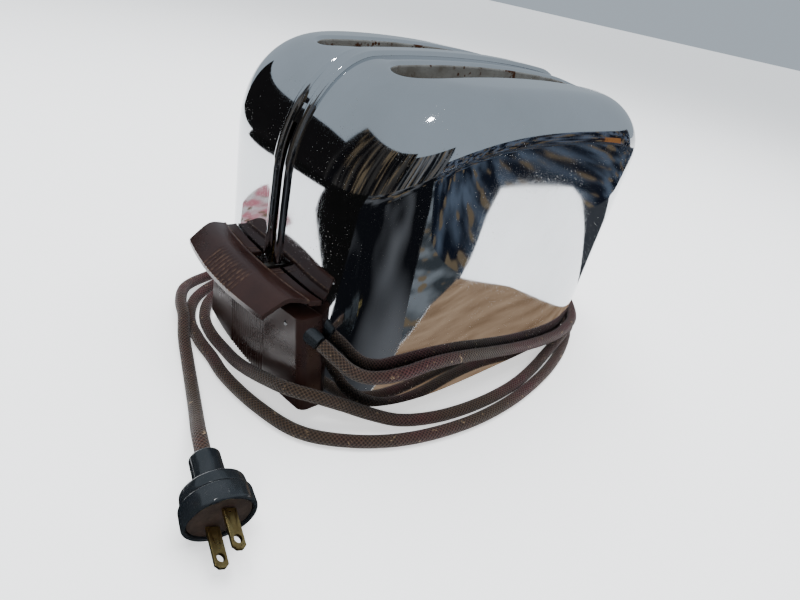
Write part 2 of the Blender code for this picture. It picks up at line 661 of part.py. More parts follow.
def build_tray(mats):
    sheet = mats["steel"]
    hinge_x, hinge_z = HINGE
    tray = box("crumb_tray", (TRAY_X[0], -TRAY_HALF_WIDTH, TRAY_Z[0]), (TRAY_X[1], TRAY_HALF_WIDTH, TRAY_Z[1]),
               sheet)
    knuckle = cylinder("tray_knuckle", (hinge_x, -TRAY_HALF_WIDTH, hinge_z), (hinge_x, TRAY_HALF_WIDTH, hinge_z),
                       2.2, sheet, 16)
    combine(tray, knuckle, "UNION")
    combine(tray, cylinder("knuckle_bore", (hinge_x, -60, hinge_z), (hinge_x, 60, hinge_z), 1.5, sheet, 16))
    cylinder("tray_hinge_pin", (hinge_x, -50, hinge_z), (hinge_x, 50, hinge_z), 1.2, sheet, 14)
    for side, word in ((-1, "near"), (1, "far")):
        low, high = sorted((side * (TRAY_HALF_WIDTH + GAP), side * 50.0))
        lug = box(f"tray_lug_{word}", (hinge_x - 2.6, low, hinge_z - 2.6), (hinge_x + 2.6, high, BASE_Z[0] - GAP),
                  sheet)
        combine(lug, cylinder("lug_bore", (hinge_x, -60, hinge_z), (hinge_x, 60, hinge_z), 1.5, sheet, 16))
    knob = turned("tray_catch", (-56.0, 0, 7.5), (0, 0, 1),
                  [(0, 0), (0, 4.2), (0.8, 5.0), (3.0, 5.0), (3.6, 3.0), (TRAY_Z[0] - GAP - 7.5, 3.0),
                   (TRAY_Z[0] - GAP - 7.5, 0)], mats["steel"], 20)
    return tray, knob


# ---------------------------------------------------------------- cord and plug

# The cord's own points: down the near wall, round the back and the far side on the table, twice
# more round the foot, and out to the plug.
CORD_ROUTE = (
    (-121.68, -57.1, 51.7), (-118.2, -65.4, 48.0), (-113.2, -72.2, 42.9), (-106.4, -77.8, 39.4),
    (-97.4, -82.5, 39.0), (-86.0, -86.9, 41.0), (-68.0, -89.6, 43.0), (-44.0, -91.3, 40.6),
    (-16.0, -91.6, 34.3), (16.0, -91.6, 27.6), (43.0, -91.4, 23.6), (66.0, -90.0, 21.0),
    (85.0, -86.6, 19.9), (102.5, -80.8, 19.5), (117.5, -69.5, 19.4), (131.0, -54.5, 18.0),
    (137.5, -34.0, 10.5), (139.5, -8.0, 4.4), (140.5, 18.0, 4.0), (137.5, 46.0, 4.0),
    (124.5, 69.5, 4.0), (98.0, 85.5, 4.0), (58.0, 91.5, 4.0), (10.0, 93.0, 4.0),
    (-35.0, 92.5, 4.0), (-75.0, 89.5, 4.0), (-105.0, 82.5, 4.0), (-125.0, 71.0, 4.0),
    (-136.3, 53.0, 4.0), (-140.0, 34.0, 4.0), (-139.8, 14.0, 4.3), (-141.0, -2.0, 8.0),
    (-141.2, -18.0, 13.2), (-140.2, -36.0, 19.6), (-136.5, -53.0, 24.3), (-126.0, -65.0, 23.4),
    (-113.5, -72.8, 18.5), (-100.0, -80.8, 12.5), (-84.0, -89.0, 7.0), (-60.0, -96.3, 4.2),
    (-28.0, -101.2, 4.0), (8.0, -101.0, 4.0), (36.0, -96.6, 4.5), (60.0, -91.4, 7.6),
    (82.0, -86.4, 10.6), (102.8, -80.6, 11.8), (118.5, -69.0, 11.8), (134.0, -55.0, 10.4),
    (146.0, -35.0, 5.0), (149.5, -8.0, 4.0), (150.0, 20.0, 4.0), (147.5, 49.0, 4.0),
    (134.0, 77.0, 4.0), (105.0, 94.5, 4.0), (60.0, 100.5, 4.0), (10.0, 101.8, 4.0),
    (-35.0, 101.5, 4.0), (-78.0, 98.5, 4.0), (-110.0, 91.0, 4.0), (-132.5, 77.0, 4.0),
    (-145.5, 55.0, 4.0), (-149.3, 31.0, 4.0), (-149.5, 12.0, 4.0), (-150.3, -6.0, 4.0),
    (-146.0, -38.0, 4.0), (-136.0, -66.5, 4.0), (-117.0, -85.0, 4.0), (-90.0, -99.6, 4.0),
    (-50.0, -109.2, 4.0), (-8.0, -110.6, 4.0), (36.0, -104.8, 4.0), (68.0, -96.4, 4.0),
    (88.0, -88.6, 4.0), (103.5, -81.0, 4.0), (120.0, -70.0, 4.0), (138.0, -58.0, 4.0),
    (153.5, -38.0, 4.0), (158.5, -10.0, 4.0), (159.5, 20.0, 4.0), (157.0, 53.0, 4.0),
    (143.0, 84.0, 4.0), (110.0, 103.5, 4.0), (60.0, 109.5, 4.0), (10.0, 110.5, 4.0),
    (-38.0, 110.3, 4.0), (-82.0, 107.6, 4.0), (-115.0, 100.5, 5.0), (-136.0, 86.0, 9.0),
    (-147.0, 66.0, 11.9), (-151.5, 50.0, 11.9), (-158.0, 33.0, 8.2), (-163.5, 14.0, 4.6),
    (-168.8, -4.0, 4.0), (-174.0, -21.0, 5.2), (-179.2, -36.5, 9.5), (-183.8, -49.5, 15.4),
    (-187.0, -59.5, 19.2), (-189.66, -69.35, 20.05),
)


def smooth_route(points, sag, longest):
    """Points on a centripetal Catmull-Rom curve through the route's own points.

    They lie closer together in the bends, where the straight run between two of them would leave
    the curve by more than sag, and never further apart than longest.
    """
    pts = np.array(points, float)
    pts = np.vstack([2 * pts[0] - pts[1], pts, 2 * pts[-1] - pts[-2]])
    dense = []
    for p0, p1, p2, p3 in zip(pts, pts[1:], pts[2:], pts[3:]):
        t0 = 0.0
        t1, t2, t3 = np.cumsum([math.sqrt(np.linalg.norm(b - a)) for a, b in ((p0, p1), (p1, p2), (p2, p3))])
        t = np.linspace(t1, t2, 12, endpoint=False)[:, None]
        a1 = ((t1 - t) * p0 + (t - t0) * p1) / (t1 - t0)
        a2 = ((t2 - t) * p1 + (t - t1) * p2) / (t2 - t1)
        a3 = ((t3 - t) * p2 + (t - t2) * p3) / (t3 - t2)
        b1 = ((t2 - t) * a1 + (t - t0) * a2) / (t2 - t0)
        b2 = ((t3 - t) * a2 + (t - t1) * a3) / (t3 - t1)
        dense.append(((t2 - t) * b1 + (t - t1) * b2) / (t2 - t1))
    dense = np.vstack(dense + [pts[-2][None]])
    steps = np.linalg.norm(np.diff(dense, axis=0), axis=1)
    run = np.concatenate([[0], np.cumsum(steps)])
    heading = np.diff(dense, axis=0) / steps[:, None]
    turning = np.linalg.norm(np.diff(heading, axis=0), axis=1) / ((steps[1:] + steps[:-1]) / 2)
    turning = np.convolve(np.pad(turning, 8, mode="edge"), np.full(15, 1 / 15), mode="valid")
    room = np.minimum(np.sqrt(8 * sag / np.maximum(turning, 1e-6)), longest)
    tally = np.concatenate([[0], np.cumsum(steps / room[:len(steps)])])
    at = np.interp(np.linspace(0, tally[-1], int(round(tally[-1])) + 1), tally, run)
    return np.stack([np.interp(at, run, dense[:, k]) for k in range(3)], 1)


def build_cord(mats):
    sleeve_axis = Vector(SLEEVE_END) - Vector(SLEEVE_START)
    length = sleeve_axis.length
    turned("cord_sleeve", SLEEVE_START, sleeve_axis,
           [(0, 0), (0, 5.2), (length * 0.3, 5.2), (length, 4.3), (length, 0)], mats["black_moulding"], 20)
    route = smooth_route(CORD_ROUTE, CORD_SAG, CORD_LONGEST_RUN)
    curve = bpy.data.curves.new("cord", "CURVE")
    curve.dimensions = "3D"
    curve.bevel_depth = CORD_RADIUS * MM
    curve.bevel_resolution = 2
    curve.use_fill_caps = True
    spline = curve.splines.new("POLY")
    spline.points.add(len(route) - 1)
    for point, place in zip(spline.points, route):
        point.co = (*(Vector(place) * MM), 1)
    curve.materials.append(mats["braid"])
    cord = bpy.data.objects.new("cord", curve)
    bpy.context.scene.collection.objects.link(cord)


def build_plug(mats):
    axis = Vector(PLUG_AXIS).normalized()
    face = Vector(PLUG_FACE)
    profile = [(-33.0, 0), (-33.0, 6.6), (-32.0, 7.1), (-17.0, 7.2), (-16.5, 13.4), (-15.2, 14.3),
               (-9.8, 14.6), (-9.5, 15.4), (-8.8, 15.7), (-1.0, 15.9), (0.0, 15.2), (0.0, 13.9),
               (-2.5, 13.9), (-2.5, 0)]
    turned("plug_body", face, axis, profile, mats["black_moulding"], 32, smooth=28)
    turned("plug_disc", face, axis, [(-2.2, 0), (-2.2, 13.5), (-1.5, 13.5), (-1.5, 0)], mats["fibre"], 28)
    spread = Vector(BLADE_SPREAD)
    spread = (spread - axis * spread.dot(axis)).normalized()
    wide = axis.cross(spread)
    width, thickness, reach = BLADE
    for side, word in ((-1, "upper"), (1, "lower")):
        middle = face + spread * side * BLADE_SPACING / 2
        section = ((-0.5, -1.2), (-0.5, reach - 2.0 + 1.2), (-0.28, reach), (0.28, reach), (0.5, reach - 0.8),
                   (0.5, -1.2))
        rings = []
        for edge in (-thickness / 2, thickness / 2):
            rings.append([middle + wide * (w * width) + axis * a + spread * edge for w, a in section])
        blade = loft(f"plug_blade_{word}", rings, mats["brass"], smooth=None)
        hole = middle + axis * (reach - 4.5)
        combine(blade, cylinder(f"blade_hole_{word}", hole - spread * 4, hole + spread * 4, 1.9, mats["brass"], 14))


def main():
    for obj in list(bpy.data.objects):
        bpy.data.objects.remove(obj, do_unlink=True)
    mats = make_materials()
    build_shell(mats)
    build_moulding(mats)
    lever_pieces = build_front_end(mats)
    build_back_end(mats)
    lever_pieces += build_carriage(mats)
    ride_on("lever_slide_axis", (ROD_X, 0, ARM_Z[0]), lever_pieces)
    build_spring(mats)
    build_frames(mats)
    build_guards(mats)
    build_heaters(mats)
    latch, dial = build_controls(mats)
    ride_on("latch_axis", (LATCH_PIVOT[0], 0, LATCH_PIVOT[1]), [latch])
    ride_on("dial_axis", (*DIAL_PLACE, 6.0), [dial])
    build_base(mats)
    tray, knob = build_tray(mats)
    ride_on("tray_axis", (HINGE[0], 0, HINGE[1]), [tray, knob])
    build_cord(mats)
    build_plug(mats)


main()
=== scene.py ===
import math

import bmesh
import bpy
import numpy as np
from mathutils import Matrix, Vector


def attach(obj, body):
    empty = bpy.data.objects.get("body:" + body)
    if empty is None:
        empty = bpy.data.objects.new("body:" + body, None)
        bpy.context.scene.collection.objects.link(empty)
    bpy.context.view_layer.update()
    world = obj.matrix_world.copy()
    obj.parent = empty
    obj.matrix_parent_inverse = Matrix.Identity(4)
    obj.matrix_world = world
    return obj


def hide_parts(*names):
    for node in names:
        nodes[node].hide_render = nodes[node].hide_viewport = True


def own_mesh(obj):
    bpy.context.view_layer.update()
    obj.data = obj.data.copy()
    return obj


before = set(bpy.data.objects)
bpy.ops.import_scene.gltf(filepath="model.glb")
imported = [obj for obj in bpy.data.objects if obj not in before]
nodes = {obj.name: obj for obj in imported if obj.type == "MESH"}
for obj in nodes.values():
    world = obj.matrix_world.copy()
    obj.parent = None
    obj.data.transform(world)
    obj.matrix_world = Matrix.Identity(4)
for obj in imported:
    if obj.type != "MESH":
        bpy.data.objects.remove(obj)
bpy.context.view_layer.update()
mm = 0.001
print("frame loaded:", len(nodes), "nodes")


# ---- mesh helpers, all in millimetres until makePiece

def idQuads(ids, wrap=False):
    # quads between neighbouring rows of a grid of point numbers; wrap joins the last column to the first
    if wrap:
        ids = np.concatenate([ids, ids[:, :1]], 1)
    return np.stack([ids[:-1, :-1], ids[:-1, 1:], ids[1:, 1:], ids[1:, :-1]], -1).reshape(-1, 4)


def gridQuads(rows, columns, wrap=False):
    return idQuads(np.arange(rows * columns).reshape(rows, columns), wrap)


def facing(points, quads):
    # the cross product of each face's diagonals, which points along its normal
    return np.cross(points[quads[:, 2]] - points[quads[:, 0]], points[quads[:, 3]] - points[quads[:, 1]])


def vertexNormals(points, quads):
    # the sum of the facing of the faces around each point, made one long
    normal = facing(points, quads)
    total = np.zeros_like(points)
    for corner in range(4):
        np.add.at(total, quads[:, corner], normal)
    return total / np.maximum(np.linalg.norm(total, axis=1), 1e-12)[:, None]


def openEdges(quads):
    # directed edges that only one face uses
    edges = np.concatenate([quads[:, [c, (c + 1) % 4]] for c in range(4)])
    low, high = edges.min(1), edges.max(1)
    key = low.astype(np.int64) * (quads.max() + 1) + high
    _, first, count = np.unique(key, return_index=True, return_counts=True)
    return edges[first[count == 1]]


def thickened(points, quads, normals, wall):
    # the sheet, its copy moved inwards by wall and turned over, and a rim along every open edge
    count = len(points)
    rim = openEdges(quads)
    rim = np.stack([rim[:, 1], rim[:, 0], rim[:, 0] + count, rim[:, 1] + count], 1)
    solid = np.concatenate([points, points - normals * wall])
    return solid, np.concatenate([quads, quads[:, ::-1] + count, rim])


def makePiece(name, points, faces, mats, cadNodes=(), body="toaster", slot=None, normals=None, uv=None,
              smooth=True, matIndex=None):
    mesh = bpy.data.meshes.new(name)
    faces = [list(map(int, f)) for f in faces]
    mesh.from_pydata((np.asarray(points) * mm).tolist(), [], faces)
    mesh.validate()
    for mat in (mats if isinstance(mats, (list, tuple)) else [mats]):
        mesh.materials.append(mat)
    if matIndex is not None:
        mesh.polygons.foreach_set("material_index", np.asarray(matIndex, np.int32))
    if uv is not None:
        layer = mesh.uv_layers.new(name="alongAround")
        layer.data.foreach_set("uv", np.asarray(uv, np.float32).ravel())
    if smooth:
        mesh.shade_smooth()
    if smooth is not True and smooth:
        mesh.set_sharp_from_angle(angle=math.radians(smooth))
    if normals is not None:
        mesh.normals_split_custom_set_from_vertices(np.asarray(normals).tolist())
    mesh.update()
    piece = bpy.data.objects.new(name, mesh)
    bpy.context.scene.collection.objects.link(piece)
    if body:
        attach(piece, body)
    if cadNodes:
        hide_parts(*cadNodes)
    return piece


def softLine(points, radius, steps=4):
    # a polyline whose inner corners are quadratic curves that start radius before each corner
    points = np.asarray(points, float)
    line = [points[:1]]
    for before, corner, after in zip(points, points[1:], points[2:]):
        reach = min(radius, 0.45 * np.linalg.norm(corner - before), 0.45 * np.linalg.norm(after - corner))
        start = corner + (before - corner) / np.linalg.norm(before - corner) * reach
        end = corner + (after - corner) / np.linalg.norm(after - corner) * reach
        t = np.linspace(0, 1, steps)[:, None]
        line.append((1 - t) ** 2 * start + 2 * t * (1 - t) * corner + t ** 2 * end)
    return np.concatenate(line + [points[-1:]])


def turnedPiece(name, origin, axis, profile, mats, radius=0.5, sides=72, **rest):
    # (along, radius) pairs turned about an axis, with softened corners; both ends close on the axis
    axis = Vector(axis).normalized()
    helper = Vector((0, 0, 1)) if abs(axis.z) < 0.9 else Vector((1, 0, 0))
    side = axis.cross(helper).normalized()
    up = axis.cross(side)
    line = softLine(profile, radius)
    turn = np.linspace(0, 2 * np.pi, sides, endpoint=False)
    ring = np.cos(turn)[:, None] * np.array(side) + np.sin(turn)[:, None] * np.array(up)
    points = np.array(origin) + line[:, 0, None, None] * np.array(axis) + line[:, 1, None, None] * ring
    faces = gridQuads(len(line), sides, wrap=True).tolist()
    last = (len(line) - 1) * sides
    faces += [list(range(sides))[::-1], list(range(last, last + sides))]
    piece = makePiece(name, points.reshape(-1, 3), faces, mats, smooth=35, **rest)
    pointOutwards(piece)
    return piece


def pointOutwards(piece):
    # turns every face of a closed piece outwards
    shape = bmesh.new()
    shape.from_mesh(piece.data)
    bmesh.ops.recalc_face_normals(shape, faces=shape.faces)
    shape.to_mesh(piece.data)
    shape.free()


# ---- shader groups that several finishes share

def newGroup(name, inputs, outputs):
    group = bpy.data.node_groups.new(name, "ShaderNodeTree")
    for label, kind, value in inputs:
        socket = group.interface.new_socket(name=label, in_out="INPUT", socket_type=kind)
        if value is not None:
            socket.default_value = value
    for label, kind in outputs:
        group.interface.new_socket(name=label, in_out="OUTPUT", socket_type=kind)
    return group, group.nodes.new("NodeGroupInput"), group.nodes.new("NodeGroupOutput")


def addNode(tree, kind, **settings):
    node = tree.nodes.new(kind)
    for key, value in settings.items():
        if key in node.inputs:
            node.inputs[key].default_value = value
        else:
            setattr(node, key, value)
    return node


def ramp(tree, source, low, high, reverse=False):
    node = addNode(tree, "ShaderNodeMapRange")
    node.clamp = True
    node.inputs["From Min"].default_value = low
    node.inputs["From Max"].default_value = high
    node.inputs["To Min"].default_value = 1.0 if reverse else 0.0
    node.inputs["To Max"].default_value = 0.0 if reverse else 1.0
    tree.links.new(source, node.inputs["Value"])
    return node.outputs["Result"]


def maths(tree, operation, *values):
    # a Math node: each value is linked if it is a socket and set if it is a number
    node = addNode(tree, "ShaderNodeMath", operation=operation)
    for socket, value in zip(node.inputs, values):
        if isinstance(value, float):
            socket.default_value = value
        else:
            tree.links.new(value, socket)
    return node.outputs[0]


def texture(tree, kind, vector, **settings):
    node = addNode(tree, "ShaderNodeTex" + kind, **settings)
    tree.links.new(vector, node.inputs["Vector"])
    return node


def mapped(tree, vector, **settings):
    node = addNode(tree, "ShaderNodeMapping", **settings)
    tree.links.new(vector, node.inputs["Vector"])
    return node.outputs["Vector"]


def mottleGroup():
    # broad uneven patches broken up by fine ones
    group, inside, outside = newGroup(
        "mottle", [("Vector", "NodeSocketVector", None), ("Scale", "NodeSocketFloat", 60.0)],
        [("Patches", "NodeSocketFloat"), ("Fine", "NodeSocketFloat")])
    vector, scale = inside.outputs["Vector"], inside.outputs["Scale"]
    broad = texture(group, "Noise", vector, Detail=5.0, Roughness=0.62)
    fine = texture(group, "Noise", vector, Detail=3.0, Roughness=0.7)
    group.links.new(scale, broad.inputs["Scale"])
    group.links.new(maths(group, "MULTIPLY", scale, 14.0), fine.inputs["Scale"])
    group.links.new(ramp(group, broad.outputs["Fac"], 0.36, 0.66), outside.inputs["Patches"])
    group.links.new(fine.outputs["Fac"], outside.inputs["Fine"])
    return group


def specksGroup():
    # sparse small round spots, of uneven size
    group, inside, outside = newGroup(
        "specks", [("Vector", "NodeSocketVector", None), ("Scale", "NodeSocketFloat", 400.0),
                   ("Size", "NodeSocketFloat", 0.12)], [("Spots", "NodeSocketFloat")])
    vector = inside.outputs["Vector"]
    cells = texture(group, "Voronoi", vector, Randomness=1.0)
    group.links.new(inside.outputs["Scale"], cells.inputs["Scale"])
    size = maths(group, "SUBTRACT", inside.outputs["Size"], cells.outputs["Distance"])
    rarer = texture(group, "Noise", vector, Scale=45.0, Detail=2.0)
    both = maths(group, "MULTIPLY", ramp(group, size, 0.0, 0.05), ramp(group, rarer.outputs["Fac"], 0.46, 0.6))
    group.links.new(both, outside.inputs["Spots"])
    return group


def scratchGroup():
    # long thin lines in three slants: noise drawn out along one direction and cut at a narrow band
    group, inside, outside = newGroup("scratches", [("Vector", "NodeSocketVector", None),
                                                    ("Scale", "NodeSocketFloat", 90.0)],
                                      [("Lines", "NodeSocketFloat")])
    lines = None
    for slant, stretch in ((0.35, 26.0), (1.1, 34.0), (-0.6, 20.0)):
        vector = mapped(group, inside.outputs["Vector"], Rotation=(slant, slant * 0.7, 0.2),
                        Scale=(stretch, stretch, 1.0))
        noise = texture(group, "Noise", vector, Detail=1.0, Roughness=0.4)
        group.links.new(inside.outputs["Scale"], noise.inputs["Scale"])
        size = maths(group, "ABSOLUTE", maths(group, "SUBTRACT", noise.outputs["Fac"], 0.62))
        line = ramp(group, size, 0.0, 0.012, reverse=True)
        lines = line if lines is None else maths(group, "MAXIMUM", lines, line)
    group.links.new(lines, outside.inputs["Lines"])
    return group


mottle, specks, scratches = mottleGroup(), specksGroup(), scratchGroup()


def placed(tree, group, vector, **values):
    node = tree.nodes.new("ShaderNodeGroup")
    node.node_tree = group
    tree.links.new(vector, node.inputs["Vector"])
    for key, value in values.items():
        node.inputs[key].default_value = value
    return node


def colourMix(tree, amount, one, two):
    node = addNode(tree, "ShaderNodeMix", data_type="RGBA")
    colours = [s for s in node.inputs if s.type == "RGBA"]
    for socket, value in zip(colours, (one, two)):
        if isinstance(value, tuple):
            socket.default_value = (*value, 1.0)
        else:
            tree.links.new(value, socket)
    factor = node.inputs["Factor"]
    if isinstance(amount, float):
        factor.default_value = amount
    else:
        tree.links.new(amount, factor)
    return [s for s in node.outputs if s.type == "RGBA"][0]


def scaled(tree, source, factor, offset=0.0):
    return maths(tree, "MULTIPLY_ADD", source, factor, offset)


def bumpFrom(tree, shader, height, strength, distance):
    bump = addNode(tree, "ShaderNodeBump", Strength=strength, Distance=distance)
    tree.links.new(height, bump.inputs["Height"])
    tree.links.new(bump.outputs["Normal"], shader.inputs["Normal"])
    return bump


def startFinish(name, metallic=0.0, **sockets):
    mat = bpy.data.materials.new(name)
    mat.use_nodes = True
    tree = mat.node_tree
    shader = tree.nodes["Principled BSDF"]
    shader.inputs["Metallic"].default_value = metallic
    for key, value in sockets.items():
        shader.inputs[key.replace("_", " ")].default_value = value
    place = tree.nodes.new("ShaderNodeTexCoord").outputs["Object"]
    return mat, tree, shader, place


def wornFinish(name, colour, second, third, rough, scale, bump, metallic=0.0, spotSize=0.1, spotScale=500.0,
               **sockets):
    # two tones in patches, a third in specks, and roughness and bump from the same masks
    mat, tree, shader, place = startFinish(name, metallic, **sockets)
    patches = placed(tree, mottle, place, Scale=scale)
    spots = placed(tree, specks, place, Scale=spotScale, Size=spotSize)
    base = colourMix(tree, patches.outputs["Patches"], colour, second)
    tree.links.new(colourMix(tree, spots.outputs["Spots"], base, third), shader.inputs["Base Color"])
    tree.links.new(scaled(tree, patches.outputs["Patches"], rough[1] - rough[0], rough[0]),
                   shader.inputs["Roughness"])
    bumpFrom(tree, shader, patches.outputs["Fine"], bump, 0.0002)
    return mat


finishes = {
    "steel": dict(colour=(0.40, 0.39, 0.37), second=(0.27, 0.235, 0.20), third=(0.16, 0.07, 0.03),
                  rough=(0.28, 0.5), scale=55.0, bump=0.25, metallic=1.0, spotSize=0.2, spotScale=420.0),
    "black_sheet": dict(colour=(0.018, 0.018, 0.019), second=(0.032, 0.030, 0.028), third=(0.10, 0.055, 0.03),
                        rough=(0.38, 0.6), scale=40.0, bump=0.3),
    "mica": dict(colour=(0.46, 0.37, 0.25), second=(0.33, 0.25, 0.16), third=(0.16, 0.10, 0.06),
                 rough=(0.35, 0.6), scale=70.0, bump=0.4, Coat_Weight=0.2),
    "ribbon": dict(colour=(0.17, 0.15, 0.14), second=(0.09, 0.075, 0.07), third=(0.24, 0.15, 0.10),
                   rough=(0.4, 0.65), scale=120.0, bump=0.3, metallic=1.0),
    "shield": dict(colour=(0.50, 0.49, 0.46), second=(0.36, 0.32, 0.26), third=(0.18, 0.10, 0.05),
                   rough=(0.25, 0.5), scale=35.0, bump=0.2, metallic=1.0),
    "rubber": dict(colour=(0.016, 0.016, 0.016), second=(0.028, 0.027, 0.026), third=(0.08, 0.075, 0.07),
                   rough=(0.65, 0.85), scale=90.0, bump=0.5, spotScale=900.0),
    "ceramic": dict(colour=(0.66, 0.62, 0.54), second=(0.55, 0.50, 0.42), third=(0.30, 0.24, 0.17),
                    rough=(0.4, 0.6), scale=80.0, bump=0.3),
    "fibre": dict(colour=(0.034, 0.017, 0.009), second=(0.018, 0.010, 0.006), third=(0.07, 0.045, 0.025),
                  rough=(0.7, 0.9), scale=160.0, bump=0.5, spotScale=900.0, spotSize=0.2),
    "brass": dict(colour=(0.56, 0.42, 0.17), second=(0.36, 0.24, 0.085), third=(0.14, 0.08, 0.035),
                  rough=(0.24, 0.46), scale=190.0, bump=0.3, metallic=1.0, spotSize=0.22, spotScale=700.0),
    "black_moulding": dict(colour=(0.007, 0.009, 0.011), second=(0.012, 0.014, 0.016),
                           third=(0.05, 0.045, 0.04), rough=(0.13, 0.24), scale=70.0, bump=0.05,
                           spotSize=0.12, spotScale=800.0, Coat_Weight=0.6, Coat_Roughness=0.08),
}
looks = {name: wornFinish(name + "Finish", **values) for name, values in finishes.items()}


def chromeFinish():
    # bright plate: faint waves in the sheet, hairline scratches, a dusting of pits, dull patches
    mat, tree, shader, place = startFinish("bodyChrome", 1.0)
    patches = placed(tree, mottle, place, Scale=14.0)
    hair = placed(tree, scratches, place, Scale=26.0)
    pits = placed(tree, specks, place, Scale=560.0, Size=0.16)
    base = colourMix(tree, patches.outputs["Patches"], (0.64, 0.665, 0.69), (0.59, 0.605, 0.62))
    base = colourMix(tree, scaled(tree, hair.outputs["Lines"], 0.10), base, (0.80, 0.81, 0.82))
    tree.links.new(colourMix(tree, scaled(tree, pits.outputs["Spots"], 0.75), base, (0.72, 0.70, 0.66)),
                   shader.inputs["Base Color"])
    rough = maths(tree, "MULTIPLY_ADD", hair.outputs["Lines"], 0.05,
                  scaled(tree, patches.outputs["Patches"], 0.045, 0.03))
    tree.links.new(maths(tree, "MULTIPLY_ADD", pits.outputs["Spots"], 0.4, rough), shader.inputs["Roughness"])
    wave = texture(tree, "Noise", place, Scale=16.0, Detail=1.5)
    low = addNode(tree, "ShaderNodeBump", Strength=0.35, Distance=0.0004)
    tree.links.new(wave.outputs["Fac"], low.inputs["Height"])
    fine = addNode(tree, "ShaderNodeBump", Strength=0.03, Distance=0.00003)
    tree.links.new(hair.outputs["Lines"], fine.inputs["Height"])
    tree.links.new(low.outputs["Normal"], fine.inputs["Normal"])
    tree.links.new(fine.outputs["Normal"], shader.inputs["Normal"])
    return mat


def lipFinish():
    # the slots' turned-in lips: dull pale plate, brown heat stain and rust in ragged patches
    mat, tree, shader, place = startFinish("slotLip", 0.55)
    patches = placed(tree, mottle, place, Scale=48.0)
    rust = placed(tree, mottle, place, Scale=85.0)
    spots = placed(tree, specks, place, Scale=330.0, Size=0.34)
    base = colourMix(tree, patches.outputs["Patches"], (0.36, 0.36, 0.34), (0.17, 0.15, 0.125))
    most = maths(tree, "MAXIMUM", ramp(tree, rust.outputs["Patches"], 0.66, 0.82), spots.outputs["Spots"])
    tree.links.new(colourMix(tree, most, base, (0.085, 0.032, 0.012)), shader.inputs["Base Color"])
    tree.links.new(scaled(tree, most, 0.4, 0.32), shader.inputs["Roughness"])
    bumpFrom(tree, shader, rust.outputs["Fine"], 0.4, 0.0002)
    return mat


def brownFinish():
    # polished brown moulding: slight swirl in the tone, pale dirt in the grooves, worn pale along the ridges
    mat, tree, shader, place = startFinish("brownMoulding", 0.0, Coat_Weight=0.15, Coat_Roughness=0.18)
    shader.inputs["Specular IOR Level"].default_value = 0.4
    patches = placed(tree, mottle, place, Scale=32.0)
    spots = placed(tree, specks, place, Scale=620.0, Size=0.13)
    dirt = addNode(tree, "ShaderNodeAttribute", attribute_name="dirt")
    base = colourMix(tree, patches.outputs["Patches"], (0.0135, 0.0058, 0.0048), (0.022, 0.0092, 0.0072))
    ragged = maths(tree, "MULTIPLY", dirt.outputs["Fac"], ramp(tree, patches.outputs["Fine"], 0.40, 0.62))
    base = colourMix(tree, scaled(tree, ragged, 0.45), base, (0.20, 0.13, 0.08))
    tree.links.new(colourMix(tree, scaled(tree, spots.outputs["Spots"], 0.2), base, (0.10, 0.075, 0.06)),
                   shader.inputs["Base Color"])
    tree.links.new(scaled(tree, patches.outputs["Patches"], 0.14, 0.24), shader.inputs["Roughness"])
    bumpFrom(tree, shader, patches.outputs["Fine"], 0.12, 0.0002)
    return mat


def braidFinish():
    # plaited cotton: two families of slanting strands from the tube's own u and v, raised where they pass over,
    # with painted shade in the gaps between strands and a painted highlight on the tops where they cross
    mat, tree, shader, place = startFinish("braidedCotton", 0.0)
    shader.inputs["Specular IOR Level"].default_value = 0.35
    shader.inputs["Sheen Weight"].default_value = 0.12
    uv = addNode(tree, "ShaderNodeUVMap", uv_map="alongAround")
    parts = addNode(tree, "ShaderNodeSeparateXYZ")
    tree.links.new(uv.outputs["UV"], parts.inputs["Vector"])
    waves = []
    for sign in (1.0, -1.0):
        along = scaled(tree, parts.outputs["X"], 2 * math.pi * 430.0)
        around = maths(tree, "MULTIPLY_ADD", parts.outputs["Y"], sign * 2 * math.pi * 10.0, along)
        waves.append(scaled(tree, maths(tree, "SINE", around), 0.5, 0.5))
    weave = maths(tree, "MAXIMUM", *waves)
    both = maths(tree, "MULTIPLY", *waves)
    tone = texture(tree, "Noise", place, Scale=9.0, Detail=4.0, Roughness=0.6)
    patches = placed(tree, mottle, place, Scale=110.0)
    base = colourMix(tree, ramp(tree, tone.outputs["Fac"], 0.42, 0.60), (0.036, 0.022, 0.013),
                     (0.056, 0.015, 0.017))
    base = colourMix(tree, scaled(tree, patches.outputs["Patches"], 0.5), base, (0.020, 0.013, 0.010))
    # painted shade: near black where neither strand stands up, in the gaps of the weave
    base = colourMix(tree, ramp(tree, weave, 0.80, 0.15), base, (0.007, 0.0045, 0.004))
    # painted highlight: pale where both strands peak, on the tops of the crossings
    base = colourMix(tree, scaled(tree, ramp(tree, both, 0.72, 1.0), 0.6), base, (0.13, 0.085, 0.055))
    worn = texture(tree, "Noise", place, Scale=420.0, Detail=2.0)
    frayed = maths(tree, "MULTIPLY", ramp(tree, worn.outputs["Fac"], 0.64, 0.72),
                   ramp(tree, patches.outputs["Patches"], 0.35, 0.75))
    tree.links.new(colourMix(tree, scaled(tree, frayed, 0.7), base, (0.30, 0.21, 0.12)),
                   shader.inputs["Base Color"])
    tree.links.new(scaled(tree, weave, -0.2, 0.92), shader.inputs["Roughness"])
    bumpFrom(tree, shader, weave, 0.9, 0.0005)
    return mat


chrome, lip, brown, braid = chromeFinish(), lipFinish(), brownFinish(), braidFinish()
print("finishes made")


# ---- shell

shell = dict(footLength=122.5, shoulderLength=118.5, halfWidth=87.0, shoulderWidth=88.8, top=187.7, footZ=13.0,
             endShoulder=(46.0, 60.0), sideShoulder=(22.0, 22.0), power=(4.0, 4.3), crown=(8.5, 1.6), sheet=1.0,
             steps=84,
             slotY=32.6, slotHalfLength=80.0, slotHalfWidth=14.5, rim=2.8, lipZ=170.0,
             leverHalf=4.0, leverZ=(63.0, 150.0))


